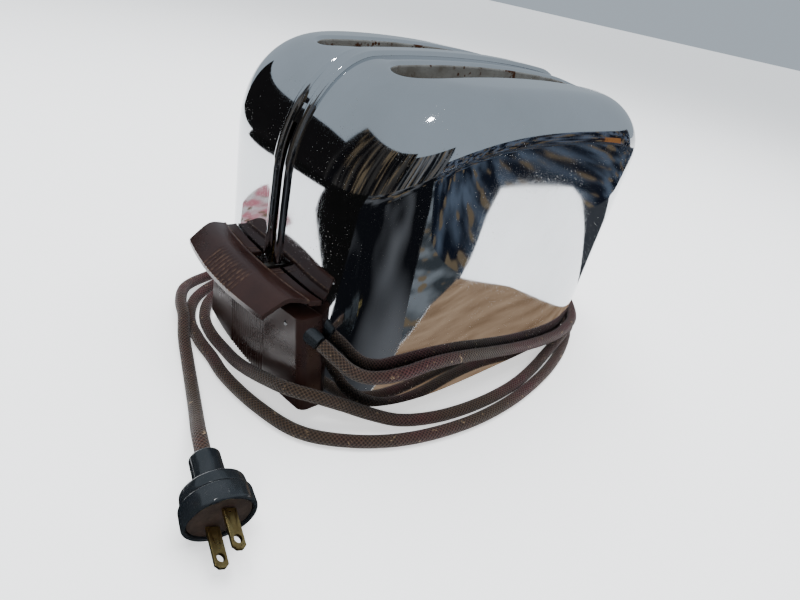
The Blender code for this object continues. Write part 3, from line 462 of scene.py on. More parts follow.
def crownHeight(x, y):
    # the top less a square fall along the body and a smaller one across it
    along, across = shell["crown"]
    return shell["top"] - along * (x / shell["shoulderLength"]) ** 2 - across * (y / shell["halfWidth"]) ** 2


def outline(turn, power):
    # the direction's point on |x|^power + |y|^power = 1, and the share of its x term
    c, s = np.cos(turn), np.sin(turn)
    size = (abs(c) ** power + abs(s) ** power) ** (1 / power)
    return c / size, s / size, abs(c / size) ** power


def shoulderPoint(roll, turn):
    # the half axes draw in by the shoulder's reach times 1 - cos(roll), and the height is the crown less the
    # shoulder's fall times 1 - sin(roll); the ends' and the sides' falls mix by the share of the x term
    c, s, share = outline(turn, shell["power"][1])
    x = (shell["shoulderLength"] - shell["endShoulder"][0] * (1 - np.cos(roll))) * c
    y = (shell["shoulderWidth"] - shell["sideShoulder"][0] * (1 - np.cos(roll))) * s
    fall = shell["endShoulder"][1] * share + shell["sideShoulder"][1] * (1 - share)
    return np.stack(np.broadcast_arrays(x, y, crownHeight(x, y) - fall * (1 - np.sin(roll))), -1)


def wallPoint(rise, turn):
    # a straight line from the foot's outline, at rise 0, to the shoulder's lower edge, at rise 1
    c, s, _ = outline(turn, shell["power"][0])
    foot = np.stack(np.broadcast_arrays(shell["footLength"] * c, shell["halfWidth"] * s,
                                        np.full_like(c, shell["footZ"])), -1)
    return foot + (shoulderPoint(0.0, turn) - foot) * rise


def topHeight(x, y):
    # the shoulder's roll is found by halving at each x, y, and gives the height there
    power = shell["power"][1]
    low, high = np.zeros_like(x), np.full_like(x, np.pi / 2)
    for _ in range(36):
        roll = (low + high) / 2
        a = shell["shoulderLength"] - shell["endShoulder"][0] * (1 - np.cos(roll))
        b = shell["shoulderWidth"] - shell["sideShoulder"][0] * (1 - np.cos(roll))
        outside = abs(x / a) ** power + abs(y / b) ** power > 1
        high, low = np.where(outside, roll, high), np.where(outside, low, roll)
    share = np.where(high >= np.pi / 2 - 1e-6, 0.5, np.minimum(abs(x / a) ** power, 1))
    fall = shell["endShoulder"][1] * share + shell["sideShoulder"][1] * (1 - share)
    return crownHeight(x, y) - fall * (1 - np.sin(roll))


def topNormal(x, y):
    step = 0.02
    dx = (topHeight(x + step, y) - topHeight(x - step, y)) / (2 * step)
    dy = (topHeight(x, y + step) - topHeight(x, y - step)) / (2 * step)
    normal = np.stack([-dx, -dy, np.ones_like(dx)], -1)
    return normal / np.linalg.norm(normal, axis=-1)[..., None]


def wallX(y, z):
    # how far out the end wall stands at a height and a distance from the middle
    rise = (z - shell["footZ"]) / (shoulderPoint(0.0, np.zeros(1))[0, 2] - shell["footZ"])
    half = shell["footLength"] + (shell["shoulderLength"] - shell["footLength"]) * rise
    power = shell["power"][0]
    return half * (1 - np.abs(y / shell["halfWidth"]) ** power) ** (1 / power)


def onSlot(x, y, side, reach):
    # the nearest point at a distance reach from the slot's middle line, and the direction away from it
    straight = shell["slotHalfLength"] - shell["slotHalfWidth"]
    core = np.clip(x, -straight, straight)
    away = np.stack([x - core, y - side * shell["slotY"]], -1)
    away = away / np.maximum(np.linalg.norm(away, axis=-1), 1e-9)[..., None]
    return core + away[..., 0] * reach, side * shell["slotY"] + away[..., 1] * reach, away


def buildShell():
    n = shell["steps"]
    # the cap is a square grid bent so that each square ring lies on the same four-power outline
    u, v = np.meshgrid(np.linspace(-1, 1, n + 1), np.linspace(-1, 1, n + 1))
    ring, turn = np.maximum(abs(u), abs(v)), np.arctan2(v, u)
    edge = shoulderPoint(np.pi / 2, turn)
    x, y = edge[..., 0] * ring, edge[..., 1] * ring
    cap = np.stack([x, y, crownHeight(x, y)], -1).reshape(-1, 3)
    quads = gridQuads(n + 1, n + 1)
    index = np.arange((n + 1) ** 2).reshape(n + 1, n + 1)
    border = np.concatenate([index[0, :-1], index[:-1, -1], index[-1, :0:-1], index[:0:-1, 0]])
    turns = turn.ravel()[border]
    rolls = np.radians(90 - np.linspace(0, 90, 41)[1:])
    walls = np.linspace(1, 0, 15)[1:]
    rows = [shoulderPoint(r, turns) for r in rolls] + [wallPoint(w, turns) for w in walls]
    side = np.concatenate(rows)
    count = len(border)
    lower = (len(cap) + np.arange(len(rows) * count)).reshape(len(rows), count)
    columns = np.concatenate([border[None], lower])
    sideQuads = idQuads(columns, wrap=True)[:, [0, 3, 2, 1]]
    points = np.concatenate([cap, side])
    quads = np.concatenate([quads, sideQuads])
    normals = vertexNormals(points, quads)
    # the lever's slot
    middle = points[quads].mean(1)
    low, high = shell["leverZ"]
    gone = (middle[:, 0] < -90) & (abs(middle[:, 1]) < shell["leverHalf"])
    gone &= (middle[:, 2] > low) & (middle[:, 2] < high)
    reach = shell["slotHalfWidth"] + shell["rim"]
    rims = []
    for sign in (-1, 1):
        straight = shell["slotHalfLength"] - shell["slotHalfWidth"]
        far = np.hypot(middle[:, 0] - np.clip(middle[:, 0], -straight, straight),
                       middle[:, 1] - sign * shell["slotY"])
        hole = (far < reach) & (middle[:, 2] > 120)
        edgeIds = np.intersect1d(quads[hole & ~gone], quads[~hole & ~gone])
        gone |= hole
        ex, ey, away = onSlot(points[edgeIds, 0], points[edgeIds, 1], sign, reach)
        points[edgeIds] = np.stack([ex, ey, topHeight(ex, ey)], -1)
        normals[edgeIds] = topNormal(ex, ey)
        rims.append((sign, edgeIds, away))
    quads = quads[~gone]
    kinds = [np.zeros(len(quads), int)]
    for sign, edgeIds, away in rims:
        # each rim rolls over a quarter circle into the slot and drops as a lip
        order = np.argsort(np.arctan2(points[edgeIds, 1] - sign * shell["slotY"], points[edgeIds, 0]))
        ids, away = edgeIds[order], away[order]
        base, up = points[ids], normals[ids]
        core = base[:, :2] - away * reach
        level = np.column_stack([-away, np.zeros(len(away))])
        rings, ringNormals = [], []
        for a in np.radians(np.linspace(0, 90, 9)[1:]):
            off = shell["slotHalfWidth"] + shell["rim"] * (1 - np.sin(a))
            xy = core + away * off
            z = topHeight(xy[:, 0], xy[:, 1]) - shell["rim"] * (1 - np.cos(a))
            rings.append(np.column_stack([xy, z]))
            mixed = up * np.cos(a) + level * np.sin(a)
            ringNormals.append(mixed / np.linalg.norm(mixed, axis=1)[:, None])
        topZ = rings[-1][:, 2]
        for share in (0.25, 0.6, 1.0):
            rings.append(np.column_stack([core + away * shell["slotHalfWidth"],
                                          topZ + (shell["lipZ"] - topZ) * share]))
            ringNormals.append(level)
        start = len(points)
        points = np.concatenate([points, *rings])
        normals = np.concatenate([normals, *ringNormals])
        grid = np.concatenate([ids[None], (start + np.arange(len(rings) * len(ids))).reshape(len(rings), -1)])
        added = idQuads(grid, wrap=True)
        if (facing(points, added) * normals[added[:, 0]]).sum() < 0:
            added = added[:, ::-1]
        quads = np.concatenate([quads, added])
        kinds.append(np.repeat(np.arange(len(rings)) >= 6, len(ids)).astype(int))
    solid, faces = thickened(points, quads, normals, shell["sheet"])
    kinds = np.concatenate(kinds)
    matIndex = np.concatenate([kinds, np.full(len(kinds), 2), np.full(len(faces) - 2 * len(kinds), 0)])
    return makePiece("bodyShell", solid, faces, [chrome, lip, looks["shield"]], ["body_shell"], slot="chrome",
                     normals=np.concatenate([normals, -normals]), matIndex=matIndex)


buildShell()
print("shell made")


# ---- centre moulding

moulding = dict(half=(7.8, 5.4), height=2.3, footZ=73.5, channelHalf=0.43, channelTop=(150.0, 182.0), sheet=0.8)


def smoothStep(value, low, high):
    t = np.clip((value - low) / (high - low), 0, 1)
    return t * t * (3 - 2 * t)


def buildMoulding():
    springZ = shoulderPoint(0.0, np.zeros(1))[0, 2]
    rise = np.linspace((moulding["footZ"] - shell["footZ"]) / (springZ - shell["footZ"]), 1, 26)
    wall = np.array([wallPoint(r, np.zeros(1))[0] for r in rise])
    roll = shoulderPoint(np.linspace(0, np.pi / 2, 60)[1:], np.zeros(59))
    flatX = np.linspace(roll[-1, 0], 0, 30)[1:]
    flat = np.stack([flatX, flatX * 0, crownHeight(flatX, 0)], -1)
    half = np.concatenate([wall, roll, flat])[:, [0, 2]]
    path = np.concatenate([half * (-1, 1), half[-2::-1]])
    along = np.gradient(path, axis=0)
    along /= np.linalg.norm(along, axis=1)[:, None]
    out = np.stack([-along[:, 1], along[:, 0]], -1)
    v = np.linspace(-1, 1, 61)
    edge = np.clip((abs(v) - 0.72) / 0.28, 0, 1)
    band = moulding["height"] * np.sqrt(np.clip(1 - edge ** 2.2, 0, 1)) + 0.05
    low, top = moulding["half"]
    width = top + (low - top) * smoothStep(abs(path[:, 0]), 60, 110)
    front = path[:, 0] < 0
    opened = np.where(front, 1 - smoothStep(path[:, 1], *moulding["channelTop"]), 0.0)
    groove = np.where(front, 1 - smoothStep(path[:, 1], 168, 186.5), 0.0)
    dip = 1 - smoothStep(abs(v), moulding["channelHalf"] - 0.02, moulding["channelHalf"] + 0.16)
    height = band[None] - np.maximum(opened, groove * 0.45)[:, None] * dip[None] * (moulding["height"] + 0.6)
    points = np.stack([path[:, 0, None] + out[:, 0, None] * height, width[:, None] * v[None],
                       path[:, 1, None] + out[:, 1, None] * height], -1).reshape(-1, 3)
    quads = gridQuads(len(path), len(v))
    if (facing(points, quads) * (points[quads[:, 0]] - (0, 0, 60))).sum() < 0:
        quads = quads[:, ::-1]
    normals = vertexNormals(points, quads)
    middle = points[quads].mean(1)
    share = np.abs(middle[:, 1]) / moulding["half"][0]
    gone = (middle[:, 0] < -90) & (share < moulding["channelHalf"] - 0.03) & (middle[:, 2] < 152)
    solid, faces = thickened(points, quads[~gone], normals, moulding["sheet"])
    return makePiece("centreMoulding", solid, faces, chrome, ["centre_moulding"], slot="chrome", smooth=50)


buildMoulding()
print("moulding made")


# ---- wings and panels

wing = dict(wallX=121.0, reach=33.0, half=(48.4, 43.7), bow=(3.7, 4.4), wallZ=73.8, crest=(18.0, 8.5, 3.4),
            tipDrop=5.3, thickness=3.0, notch=(10.0, 128.5), boss=(130.5, 144.5, 8.0), bossFoot=(70.3, 65.0),
            ribs=(17.5, 3.1, 0.42), clearance=(1.1, 0.4))
panel = dict(z=(8.5, 64.5), frontX={-1: (135.0, 136.5), 1: (130.0, 136.5)},
             half={-1: (58.0, 49.5), 1: (46.0, 46.0)}, bow=5.0, corner=5.0, wall=2.6,
             flutes=(-22.0, 17.0, 2.6, 0.75), clearance=0.35)


def addDirt(piece, values):
    layer = piece.data.attributes.new("dirt", "FLOAT", "POINT")
    layer.data.foreach_set("value", np.asarray(values, np.float32))


def softenEdges(piece, width, degrees):
    soften = piece.modifiers.new("softEdges", "BEVEL")
    soften.width, soften.segments, soften.limit_method = width * mm, 2, "ANGLE"
    soften.angle_limit = math.radians(degrees)


def buildWing(name, cadNode, end, body, bossFoot):
    # rows run from the wall to the tip and columns across; the height is the wall's plus a bell at the crest
    # less a square fall beyond it, and fine ribs follow a cosine across the middle
    rows, columns = 90, 181
    out, across = np.meshgrid(np.linspace(0, 1, rows), np.linspace(-1, 1, columns), indexing="ij")
    tipX = wing["wallX"] + wing["reach"] - wing["bow"][1] * across ** 2
    half = wing["half"][0] + (wing["half"][1] - wing["half"][0]) * out
    y = across * half
    startX = wallX(y, wing["wallZ"]) + wing["clearance"][0 if end < 0 else 1]
    x = startX + (tipX - startX) * out
    reach = np.clip((x - (wing["wallX"] - wing["bow"][0] * across ** 2)) / wing["reach"], 0, 1) * wing["reach"]
    crestAt, spread, rise = wing["crest"]
    beyond = np.maximum(reach - crestAt, 0) / (wing["reach"] - crestAt)
    z = wing["wallZ"] + rise * np.exp(-((reach - crestAt) / spread) ** 2) - wing["tipDrop"] * beyond ** 2
    # a small step with a sharp lip parts the inner ledge from the wing
    step = 8.2
    z = z - 0.9 * (1 - smoothStep(reach, step - 0.5, step + 0.3))
    z = z + 0.35 * np.exp(-((reach - step - 0.7) / 0.7) ** 2)
    ribHalf, pitch, depth = wing["ribs"]
    wave = 0.5 - 0.5 * np.cos(2 * np.pi * y / pitch)
    window = smoothStep(ribHalf - np.abs(y), 0, 0.6)
    zone = smoothStep(reach, 19.5, 23.5) + (1 - smoothStep(reach, 6.2, 7.4)) * 0.9
    ribs = (1 - wave) * window * np.clip(zone, 0, 1)
    z = z - depth * ribs
    dirt = np.clip(ribs * 1.1 - 0.45, 0, 1) * 0.9 + 0.9 * np.exp(-((reach - step - 0.7) / 0.5) ** 2)
    dirt = dirt + 0.8 * smoothStep(reach, wing["reach"] - 0.5, wing["reach"])
    points = np.stack([x * end, y, z], -1).reshape(-1, 3)
    quads = gridQuads(rows, columns)
    if facing(points, quads[:1])[0, 2] < 0:
        quads = quads[:, ::-1]
    middle = points[quads].mean(1)
    gone = (abs(middle[:, 1]) < wing["notch"][0]) & (abs(middle[:, 0]) < wing["notch"][1])
    quads = quads[~gone]
    upright = np.tile((0.0, 0.0, 1.0), (len(points), 1))
    solid, faces = thickened(points, quads, upright, wing["thickness"])
    # the underside has no ribs
    solid[len(points):, 2] += depth * ribs.ravel()
    # the boss below the crest
    x0, x1, hw = wing["boss"]
    corners = np.array([(sx, sy, sz) for sz in (bossFoot, wing["wallZ"] - 0.5) for sx, sy in
                        ((x0 * end, -hw), (x1 * end, -hw), (x1 * end, hw), (x0 * end, hw))])
    start = len(solid)
    box = np.array([(0, 1, 2, 3), (4, 7, 6, 5), (0, 4, 5, 1), (1, 5, 6, 2), (2, 6, 7, 3), (3, 7, 4, 0)]) + start
    if end > 0:
        box = box[:, ::-1]
    solid = np.concatenate([solid, corners])
    faces = np.concatenate([faces, box])
    piece = makePiece(name, solid, faces, brown, [cadNode], body=body, slot="brown_moulding", smooth=42)
    used = np.zeros(len(solid))
    used[: dirt.size] = dirt.ravel()
    addDirt(piece, used)
    pointOutwards(piece)
    softenEdges(piece, 0.6, 55)
    return piece


def buildPanel(name, cadNode, end):
    # the plan outline runs along one side, round a corner, along the bowed front and back; each level is that
    # outline moved in a little, with shallow upright flutes, and a lid joins the top to the wall
    z0, z1 = panel["z"]
    (frontLow, frontHigh), (halfLow, halfHigh) = panel["frontX"][end], panel["half"][end]
    rows, dirtRows = [], []
    for level in np.linspace(0, 1, 40):
        front = frontLow + (frontHigh - frontLow) * level
        half = halfLow + (halfHigh - halfLow) * level
        z = z0 + (z1 - z0) * level
        inner = half - panel["corner"]
        ys = np.linspace(-inner, inner, 261)
        turn = np.radians(np.linspace(0, 90, 9))
        sideX = front - panel["bow"] * (inner / half) ** 2 - panel["corner"]
        corner = np.stack([sideX + panel["corner"] * np.sin(turn), -inner - panel["corner"] * np.cos(turn)], -1)
        low, high, pitch, depth = panel["flutes"]
        wave = 0.5 + 0.5 * np.cos(2 * np.pi * (ys - low) / pitch)
        window = smoothStep(ys, low, low + 0.8) * (1 - smoothStep(ys, high - 0.8, high))
        flutes = (1 - wave) * window
        face = np.stack([front - panel["bow"] * (ys / half) ** 2 - depth * flutes, ys], -1)
        wall = wallX(np.array([half]), z)[0] + panel["clearance"]
        side = np.stack([np.linspace(wall, sideX, 8), np.full(8, -half)], -1)
        plan = np.concatenate([side[:-1], corner[:-1], face, corner[-2::-1] * (1, -1), side[-2::-1] * (1, -1)])
        rows.append(np.column_stack([plan[:, 0] * end, plan[:, 1], np.full(len(plan), z)]))
        dirt = np.zeros(len(plan))
        at = len(side) - 1 + len(corner) - 1
        dirt[at: at + len(ys)] = np.clip(flutes * 1.2 - 0.6, 0, 1) * 0.12
        dirtRows.append(dirt)
    columns = len(rows[0])
    points = np.concatenate(rows)
    quads = gridQuads(len(rows), columns)
    # the lid: from each point of the top row straight back to the wall
    first = 7
    ids = np.arange(first, columns - first) + (len(rows) - 1) * columns
    top = rows[-1][first:-first]
    ends = np.column_stack([(wallX(top[:, 1], z1) + panel["clearance"]) * end, top[:, 1], top[:, 2]])
    share = np.linspace(0, 1, 8)[1:, None, None]
    lid = (top[None] * (1 - share) + ends[None] * share).reshape(-1, 3)
    grid = np.concatenate([ids[None], (len(points) + np.arange(len(lid))).reshape(7, -1)])
    points = np.concatenate([points, lid])
    quads = np.concatenate([quads, idQuads(grid)])
    piece = makePiece(name, points, quads, brown, [cadNode], slot="brown_moulding", smooth=42)
    dirt = np.zeros(len(points))
    dirt[: len(rows) * columns] = np.concatenate(dirtRows)
    addDirt(piece, dirt)
    shape = bmesh.new()
    shape.from_mesh(piece.data)
    bmesh.ops.remove_doubles(shape, verts=shape.verts, dist=0.00001)
    bmesh.ops.recalc_face_normals(shape, faces=shape.faces)
    probe = max(shape.faces, key=lambda f: abs(f.calc_center_median().x))
    if probe.normal.x * end < 0:
        bmesh.ops.reverse_faces(shape, faces=shape.faces)
    shape.to_mesh(piece.data)
    shape.free()
    wall = piece.modifiers.new("wall", "SOLIDIFY")
    wall.thickness, wall.offset = panel["wall"] * mm, -1
    softenEdges(piece, 0.8, 50)
    return piece


buildWing("leverWing", "lever_handle", -1, "carriage", wing["bossFoot"][0])
buildWing("backWing", "back_handle", 1, "toaster", wing["bossFoot"][1])
buildPanel("frontPanel", "front_panel", -1)
buildPanel("backPanel", "back_panel", 1)
print("wings and panels made")


# ---- cord, plug and strain relief

cordRoute = (
    (-121.68, -57.1, 51.7), (-118.2, -65.4, 48.0), (-113.2, -72.2, 42.9), (-106.4, -77.8, 39.4),
    (-97.4, -82.5, 39.0), (-86.0, -86.9, 41.0), (-68.0, -89.6, 43.0), (-44.0, -91.3, 40.6),
    (-16.0, -91.6, 34.3), (16.0, -91.6, 27.6), (43.0, -91.4, 23.6), (66.0, -90.0, 21.0),
    (85.0, -86.6, 19.9), (102.5, -80.8, 19.5), (117.5, -69.5, 19.4), (131.0, -54.5, 18.0),
    (137.5, -34.0, 10.5), (139.5, -8.0, 4.4), (140.5, 18.0, 4.0), (137.5, 46.0, 4.0),
    (124.5, 69.5, 4.0), (98.0, 85.5, 4.0), (58.0, 91.5, 4.0), (10.0, 93.0, 4.0),
    (-35.0, 92.5, 4.0), (-75.0, 89.5, 4.0), (-105.0, 82.5, 4.0), (-125.0, 71.0, 4.0),
    (-136.3, 53.0, 4.0), (-140.0, 34.0, 4.0), (-139.8, 14.0, 4.3), (-141.0, -2.0, 8.0),
    (-141.2, -18.0, 13.2), (-140.2, -36.0, 19.6), (-136.5, -53.0, 24.3), (-126.0, -65.0, 23.4),
    (-113.5, -72.8, 18.5), (-100.0, -80.8, 12.5), (-84.0, -89.0, 7.0), (-60.0, -96.3, 4.2),
    (-28.0, -101.2, 4.0), (8.0, -101.0, 4.0), (36.0, -96.6, 4.5), (60.0, -91.4, 7.6),
    (82.0, -86.4, 10.6), (102.8, -80.6, 11.8), (118.5, -69.0, 11.8), (134.0, -55.0, 10.4),
    (146.0, -35.0, 5.0), (149.5, -8.0, 4.0), (150.0, 20.0, 4.0), (147.5, 49.0, 4.0),
    (134.0, 77.0, 4.0), (105.0, 94.5, 4.0), (60.0, 100.5, 4.0), (10.0, 101.8, 4.0),
    (-35.0, 101.5, 4.0), (-78.0, 98.5, 4.0), (-110.0, 91.0, 4.0), (-132.5, 77.0, 4.0),
    (-145.5, 55.0, 4.0), (-149.3, 31.0, 4.0), (-149.5, 12.0, 4.0), (-150.3, -6.0, 4.0),
    (-146.0, -38.0, 4.0), (-136.0, -66.5, 4.0), (-117.0, -85.0, 4.0), (-90.0, -99.6, 4.0),
    (-50.0, -109.2, 4.0), (-8.0, -110.6, 4.0), (36.0, -104.8, 4.0), (68.0, -96.4, 4.0),
    (88.0, -88.6, 4.0), (103.5, -81.0, 4.0), (120.0, -70.0, 4.0), (138.0, -58.0, 4.0),
    (153.5, -38.0, 4.0), (158.5, -10.0, 4.0), (159.5, 20.0, 4.0), (157.0, 53.0, 4.0),
    (143.0, 84.0, 4.0), (110.0, 103.5, 4.0), (60.0, 109.5, 4.0), (10.0, 110.5, 4.0),
    (-38.0, 110.3, 4.0), (-82.0, 107.6, 4.0), (-115.0, 100.5, 5.0), (-136.0, 86.0, 9.0),
    (-147.0, 66.0, 11.9), (-151.5, 50.0, 11.9), (-158.0, 33.0, 8.2), (-163.5, 14.0, 4.6),
    (-168.8, -4.0, 4.0), (-174.0, -21.0, 5.2), (-179.2, -36.5, 9.5), (-183.8, -49.5, 15.4),
    (-187.0, -59.5, 19.2), (-189.66, -69.35, 20.05),
)

cord = dict(radius=3.7, sides=26, length=2.58, exitPoint=(-0.1220, -0.0562, 0.0520))
plug = dict(face=(-196.4, -102.6, 15.9), axis=(-0.197, -0.972, -0.120), spread=(-0.457, 0.200, -0.865),
            blade=(6.35, 1.5, 17.5), spacing=12.7, hole=(1.9, 4.5))
sleeve = dict(start=(-128.7, -37.1, 57.9), end=(-122.0, -56.2, 52.0))


def smoothRoute(points):
    # a centripetal Catmull-Rom curve: knots are apart by the square root of the distance
    pts = np.array(points, float)
    pts = np.vstack([2 * pts[0] - pts[1], pts, 2 * pts[-1] - pts[-2]])
    dense = []
    for p0, p1, p2, p3 in zip(pts, pts[1:], pts[2:], pts[3:]):
        gaps = [math.sqrt(np.linalg.norm(b - a)) for a, b in ((p0, p1), (p1, p2), (p2, p3))]
        t0, (t1, t2, t3) = 0.0, np.cumsum(gaps)
        t = np.linspace(t1, t2, 12, endpoint=False)[:, None]
        a1 = ((t1 - t) * p0 + (t - t0) * p1) / (t1 - t0)
        a2 = ((t2 - t) * p1 + (t - t1) * p2) / (t2 - t1)
        a3 = ((t3 - t) * p2 + (t - t2) * p3) / (t3 - t2)
        b1 = ((t2 - t) * a1 + (t - t0) * a2) / (t2 - t0)
        b2 = ((t3 - t) * a2 + (t - t1) * a3) / (t3 - t1)
        dense.append(((t2 - t) * b1 + (t - t1) * b2) / (t2 - t1))
    return np.vstack(dense + [pts[-2][None]])


def tubeAlong(name, line, radius, sides, mats, **rest):
    # rings square to the line, each turned the least from upright, with flat ends; u runs along, v around
    tangent = np.gradient(line, axis=0)
    tangent /= np.linalg.norm(tangent, axis=1)[:, None]
    side = np.cross(tangent, (0.0, 0.0, 1.0))
    side /= np.linalg.norm(side, axis=1)[:, None]
    up = np.cross(side, tangent)
    turn = np.linspace(0, 2 * np.pi, sides, endpoint=False)
    points = line[:, None] + radius * (np.cos(turn)[None, :, None] * side[:, None]
                                       + np.sin(turn)[None, :, None] * up[:, None])
    run = np.concatenate([[0], np.cumsum(np.linalg.norm(np.diff(line, axis=0), axis=1))]) * mm
    quads = gridQuads(len(line), sides, wrap=True)
    rowOf, columnOf = quads[:, 0] // sides, quads[:, 0] % sides
    u = np.stack([run[rowOf], run[rowOf], run[rowOf + 1], run[rowOf + 1]], -1)
    v = np.stack([columnOf, columnOf + 1, columnOf + 1, columnOf], -1) / sides
    last = (len(line) - 1) * sides
    faces = quads.tolist() + [list(range(sides)), list(range(last, last + sides))]
    uv = np.concatenate([np.stack([u, v], -1).reshape(-1, 2), np.zeros((2 * sides, 2))])
    piece = makePiece(name, points.reshape(-1, 3), faces, mats, uv=uv, smooth=50, **rest)
    pointOutwards(piece)
    return piece


def buildCord():
    line = smoothRoute(cordRoute)
    tube = tubeAlong("powerCord", line, cord["radius"], cord["sides"], braid, cadNodes=["cord"], slot="braid")
    start, end = np.array(sleeve["start"]), np.array(sleeve["end"])
    length = np.linalg.norm(end - start)
    turnedPiece("strainRelief", start, end - start,
                [(0, 5.3), (2.4, 5.35), (2.8, 4.95), (5.2, 5.0), (5.6, 5.3), (length * 0.6, 4.9),
                 (length, 4.15), (length, 3.3)],
                looks["black_moulding"], 0.5, 48, cadNodes=["cord_sleeve"], slot="black_moulding")
    return tube, line


def buildPlug():
    face, axis = np.array(plug["face"]), np.array(plug["axis"])
    axis = axis / np.linalg.norm(axis)
    profile = [(-33.0, 4.4), (-33.0, 6.2), (-32.0, 7.0), (-25.0, 7.05), (-17.2, 7.3), (-16.7, 8.3),
               (-16.5, 12.6), (-15.4, 14.0), (-10.2, 14.55), (-9.9, 14.1), (-9.5, 14.1), (-9.3, 15.35),
               (-8.7, 15.65), (-1.0, 15.85), (-0.05, 15.2), (-0.05, 13.95), (-2.4, 13.9)]
    body = turnedPiece("plugShell", face, axis, profile, looks["black_moulding"], 0.9, 96,
                       cadNodes=["plug_body"], slot="black_moulding")
    spread = np.array(plug["spread"])
    spread = spread - axis * spread.dot(axis)
    spread /= np.linalg.norm(spread)
    wide = np.cross(axis, spread)
    width, thickness, reach = plug["blade"]
    radius, back = plug["hole"]
    # a plate seen from its hole's middle: each ray ends where it first meets one of the plate's straight edges
    turn = np.linspace(0, 2 * np.pi, 144, endpoint=False)
    ray = np.stack([np.cos(turn), np.sin(turn)], -1)
    sides = [((1, 0), width / 2), ((-1, 0), width / 2), ((0, 1), back), ((0, -1), reach - back + 1.1),
             ((0.66, 0.75), back * 0.75 + 0.9), ((-0.66, 0.75), back * 0.75 + 0.9)]
    pieces = [body]
    for sign, word in ((-1, "upper"), (1, "lower")):
        middle = face + spread * sign * plug["spacing"] / 2 + axis * (reach - back)
        rings = []
        for inset, rise in ((0.0, -0.55), (0.18, -0.75), (None, -0.75), (None, 0.75), (0.18, 0.75),
                            (0.0, 0.55)):
            if inset is None:
                far = np.full(len(turn), radius)
            else:
                far = np.min([(limit - inset) / np.maximum(ray @ np.array(n, float), 1e-6)
                              for n, limit in sides], axis=0)
            rings.append(middle + far[:, None] * (ray[:, :1] * wide + ray[:, 1:] * axis)
                         + spread * rise * thickness / 1.5)
        points = np.concatenate(rings)
        count = len(turn)
        grid = np.arange(6 * count).reshape(6, count)
        quads = idQuads(np.concatenate([grid, grid[:1]]), wrap=True)
        blade = makePiece("plugBlade_" + word, points, quads, looks["brass"], ["plug_blade_" + word],
                          slot="brass", smooth=30)
        pointOutwards(blade)
        pieces.append(blade)
    return pieces


cordTube, cordLine = buildCord()
plugPieces = buildPlug()
cordLength = float(np.linalg.norm(np.diff(cordLine, axis=0), axis=1).sum()) * mm
print("cord and plug made; the cord is %.3f m" % cordLength)


# ---- lifting spring

spring = dict(centre=(-92.0, 22.0), z=(33.3, 163.7), coil=3.4, wire=0.5, turns=13)


def buildSpring():
    # a helix whose last half turn at each end lies flat
    t = np.linspace(0, 1, spring["turns"] * 28 + 1)
    turn = 2 * np.pi * spring["turns"] * t
    low, high = spring["z"]
    flat = 0.04
    z = low + (high - low) * np.clip((t - flat) / (1 - 2 * flat), 0, 1)
    line = np.stack([spring["centre"][0] + spring["coil"] * np.cos(turn),
                     spring["centre"][1] + spring["coil"] * np.sin(turn), z], -1)
    piece = tubeAlong("liftSpring", line, spring["wire"], 10, looks["steel"], cadNodes=["carriage_spring"],
                      slot="steel")
    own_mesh(piece)


buildSpring()


# ---- finishes on the modelled inner works, the base and the fittings

slotLooks = dict(looks, chrome=chrome, brown_moulding=brown, braid=braid)
for name, node in nodes.items():
    for i, own in enumerate(node.data.materials):
        if own is None:
            continue
        key = own.name.split(".")[0]
        if key in slotLooks:
            node.data.materials[i] = slotLooks[key]
        else:
            print("no finish for", name, key)
print("finishes set on the carried-over nodes")


# ---- floor, lights and cards


def cardMaterial(name, build):
    mat = bpy.data.materials.new(name)
    mat.use_nodes = True
    tree = mat.node_tree
    tree.nodes.clear()
    out = tree.nodes.new("ShaderNodeOutputMaterial")
    glow = tree.nodes.new("ShaderNodeEmission")
    tree.links.new(glow.outputs[0], out.inputs["Surface"])
    build(tree, glow)
    return mat


def plainCard(colour, strength):
    def build(tree, glow):
        place = tree.nodes.new("ShaderNodeTexCoord").outputs["Object"]
        noise = texture(tree, "Noise", place, Scale=9.0, Detail=3.0)
        low = tuple(0.72 * c for c in colour)
        tree.links.new(colourMix(tree, noise.outputs["Fac"], low, colour), glow.inputs["Color"])
        glow.inputs["Strength"].default_value = strength
    return build


def stripedCard(dark, pale, strength, scale, stretch, cut=(0.45, 0.62), accent=(0.22, 0.17, 0.11)):
    # stripes of uneven width, from noise drawn out along one axis, with a third tone in a few of them
    def build(tree, glow):
        place = tree.nodes.new("ShaderNodeTexCoord").outputs["Object"]
        long = mapped(tree, place, Scale=stretch)
        noise = texture(tree, "Noise", long, Scale=scale, Detail=2.0)
        other = texture(tree, "Noise", long, Scale=scale * 1.7, Detail=1.0)
        base = colourMix(tree, ramp(tree, noise.outputs["Fac"], *cut), dark, pale)
        tree.links.new(colourMix(tree, ramp(tree, other.outputs["Fac"], 0.60, 0.64), base, accent),
                       glow.inputs["Color"])
        glow.inputs["Strength"].default_value = strength
    return build


def stageMesh(name, corners, faces, mat, glossyOnly=True):
    mesh = bpy.data.meshes.new(name)
    mesh.from_pydata([tuple(c) for c in corners], [], faces)
    mesh.materials.append(mat)
    card = bpy.data.objects.new(name, mesh)
    bpy.context.scene.collection.objects.link(card)
    if glossyOnly:
        card.visible_camera = card.visible_diffuse = card.visible_shadow = False
        card.visible_transmission = card.visible_volume_scatter = False
    return card


def floorCard(name, corners, build, lift=0.0002):
    points = [(x * mm, y * mm, lift) for x, y in corners]
    return stageMesh(name, points, [list(range(len(points)))], cardMaterial(name, build))


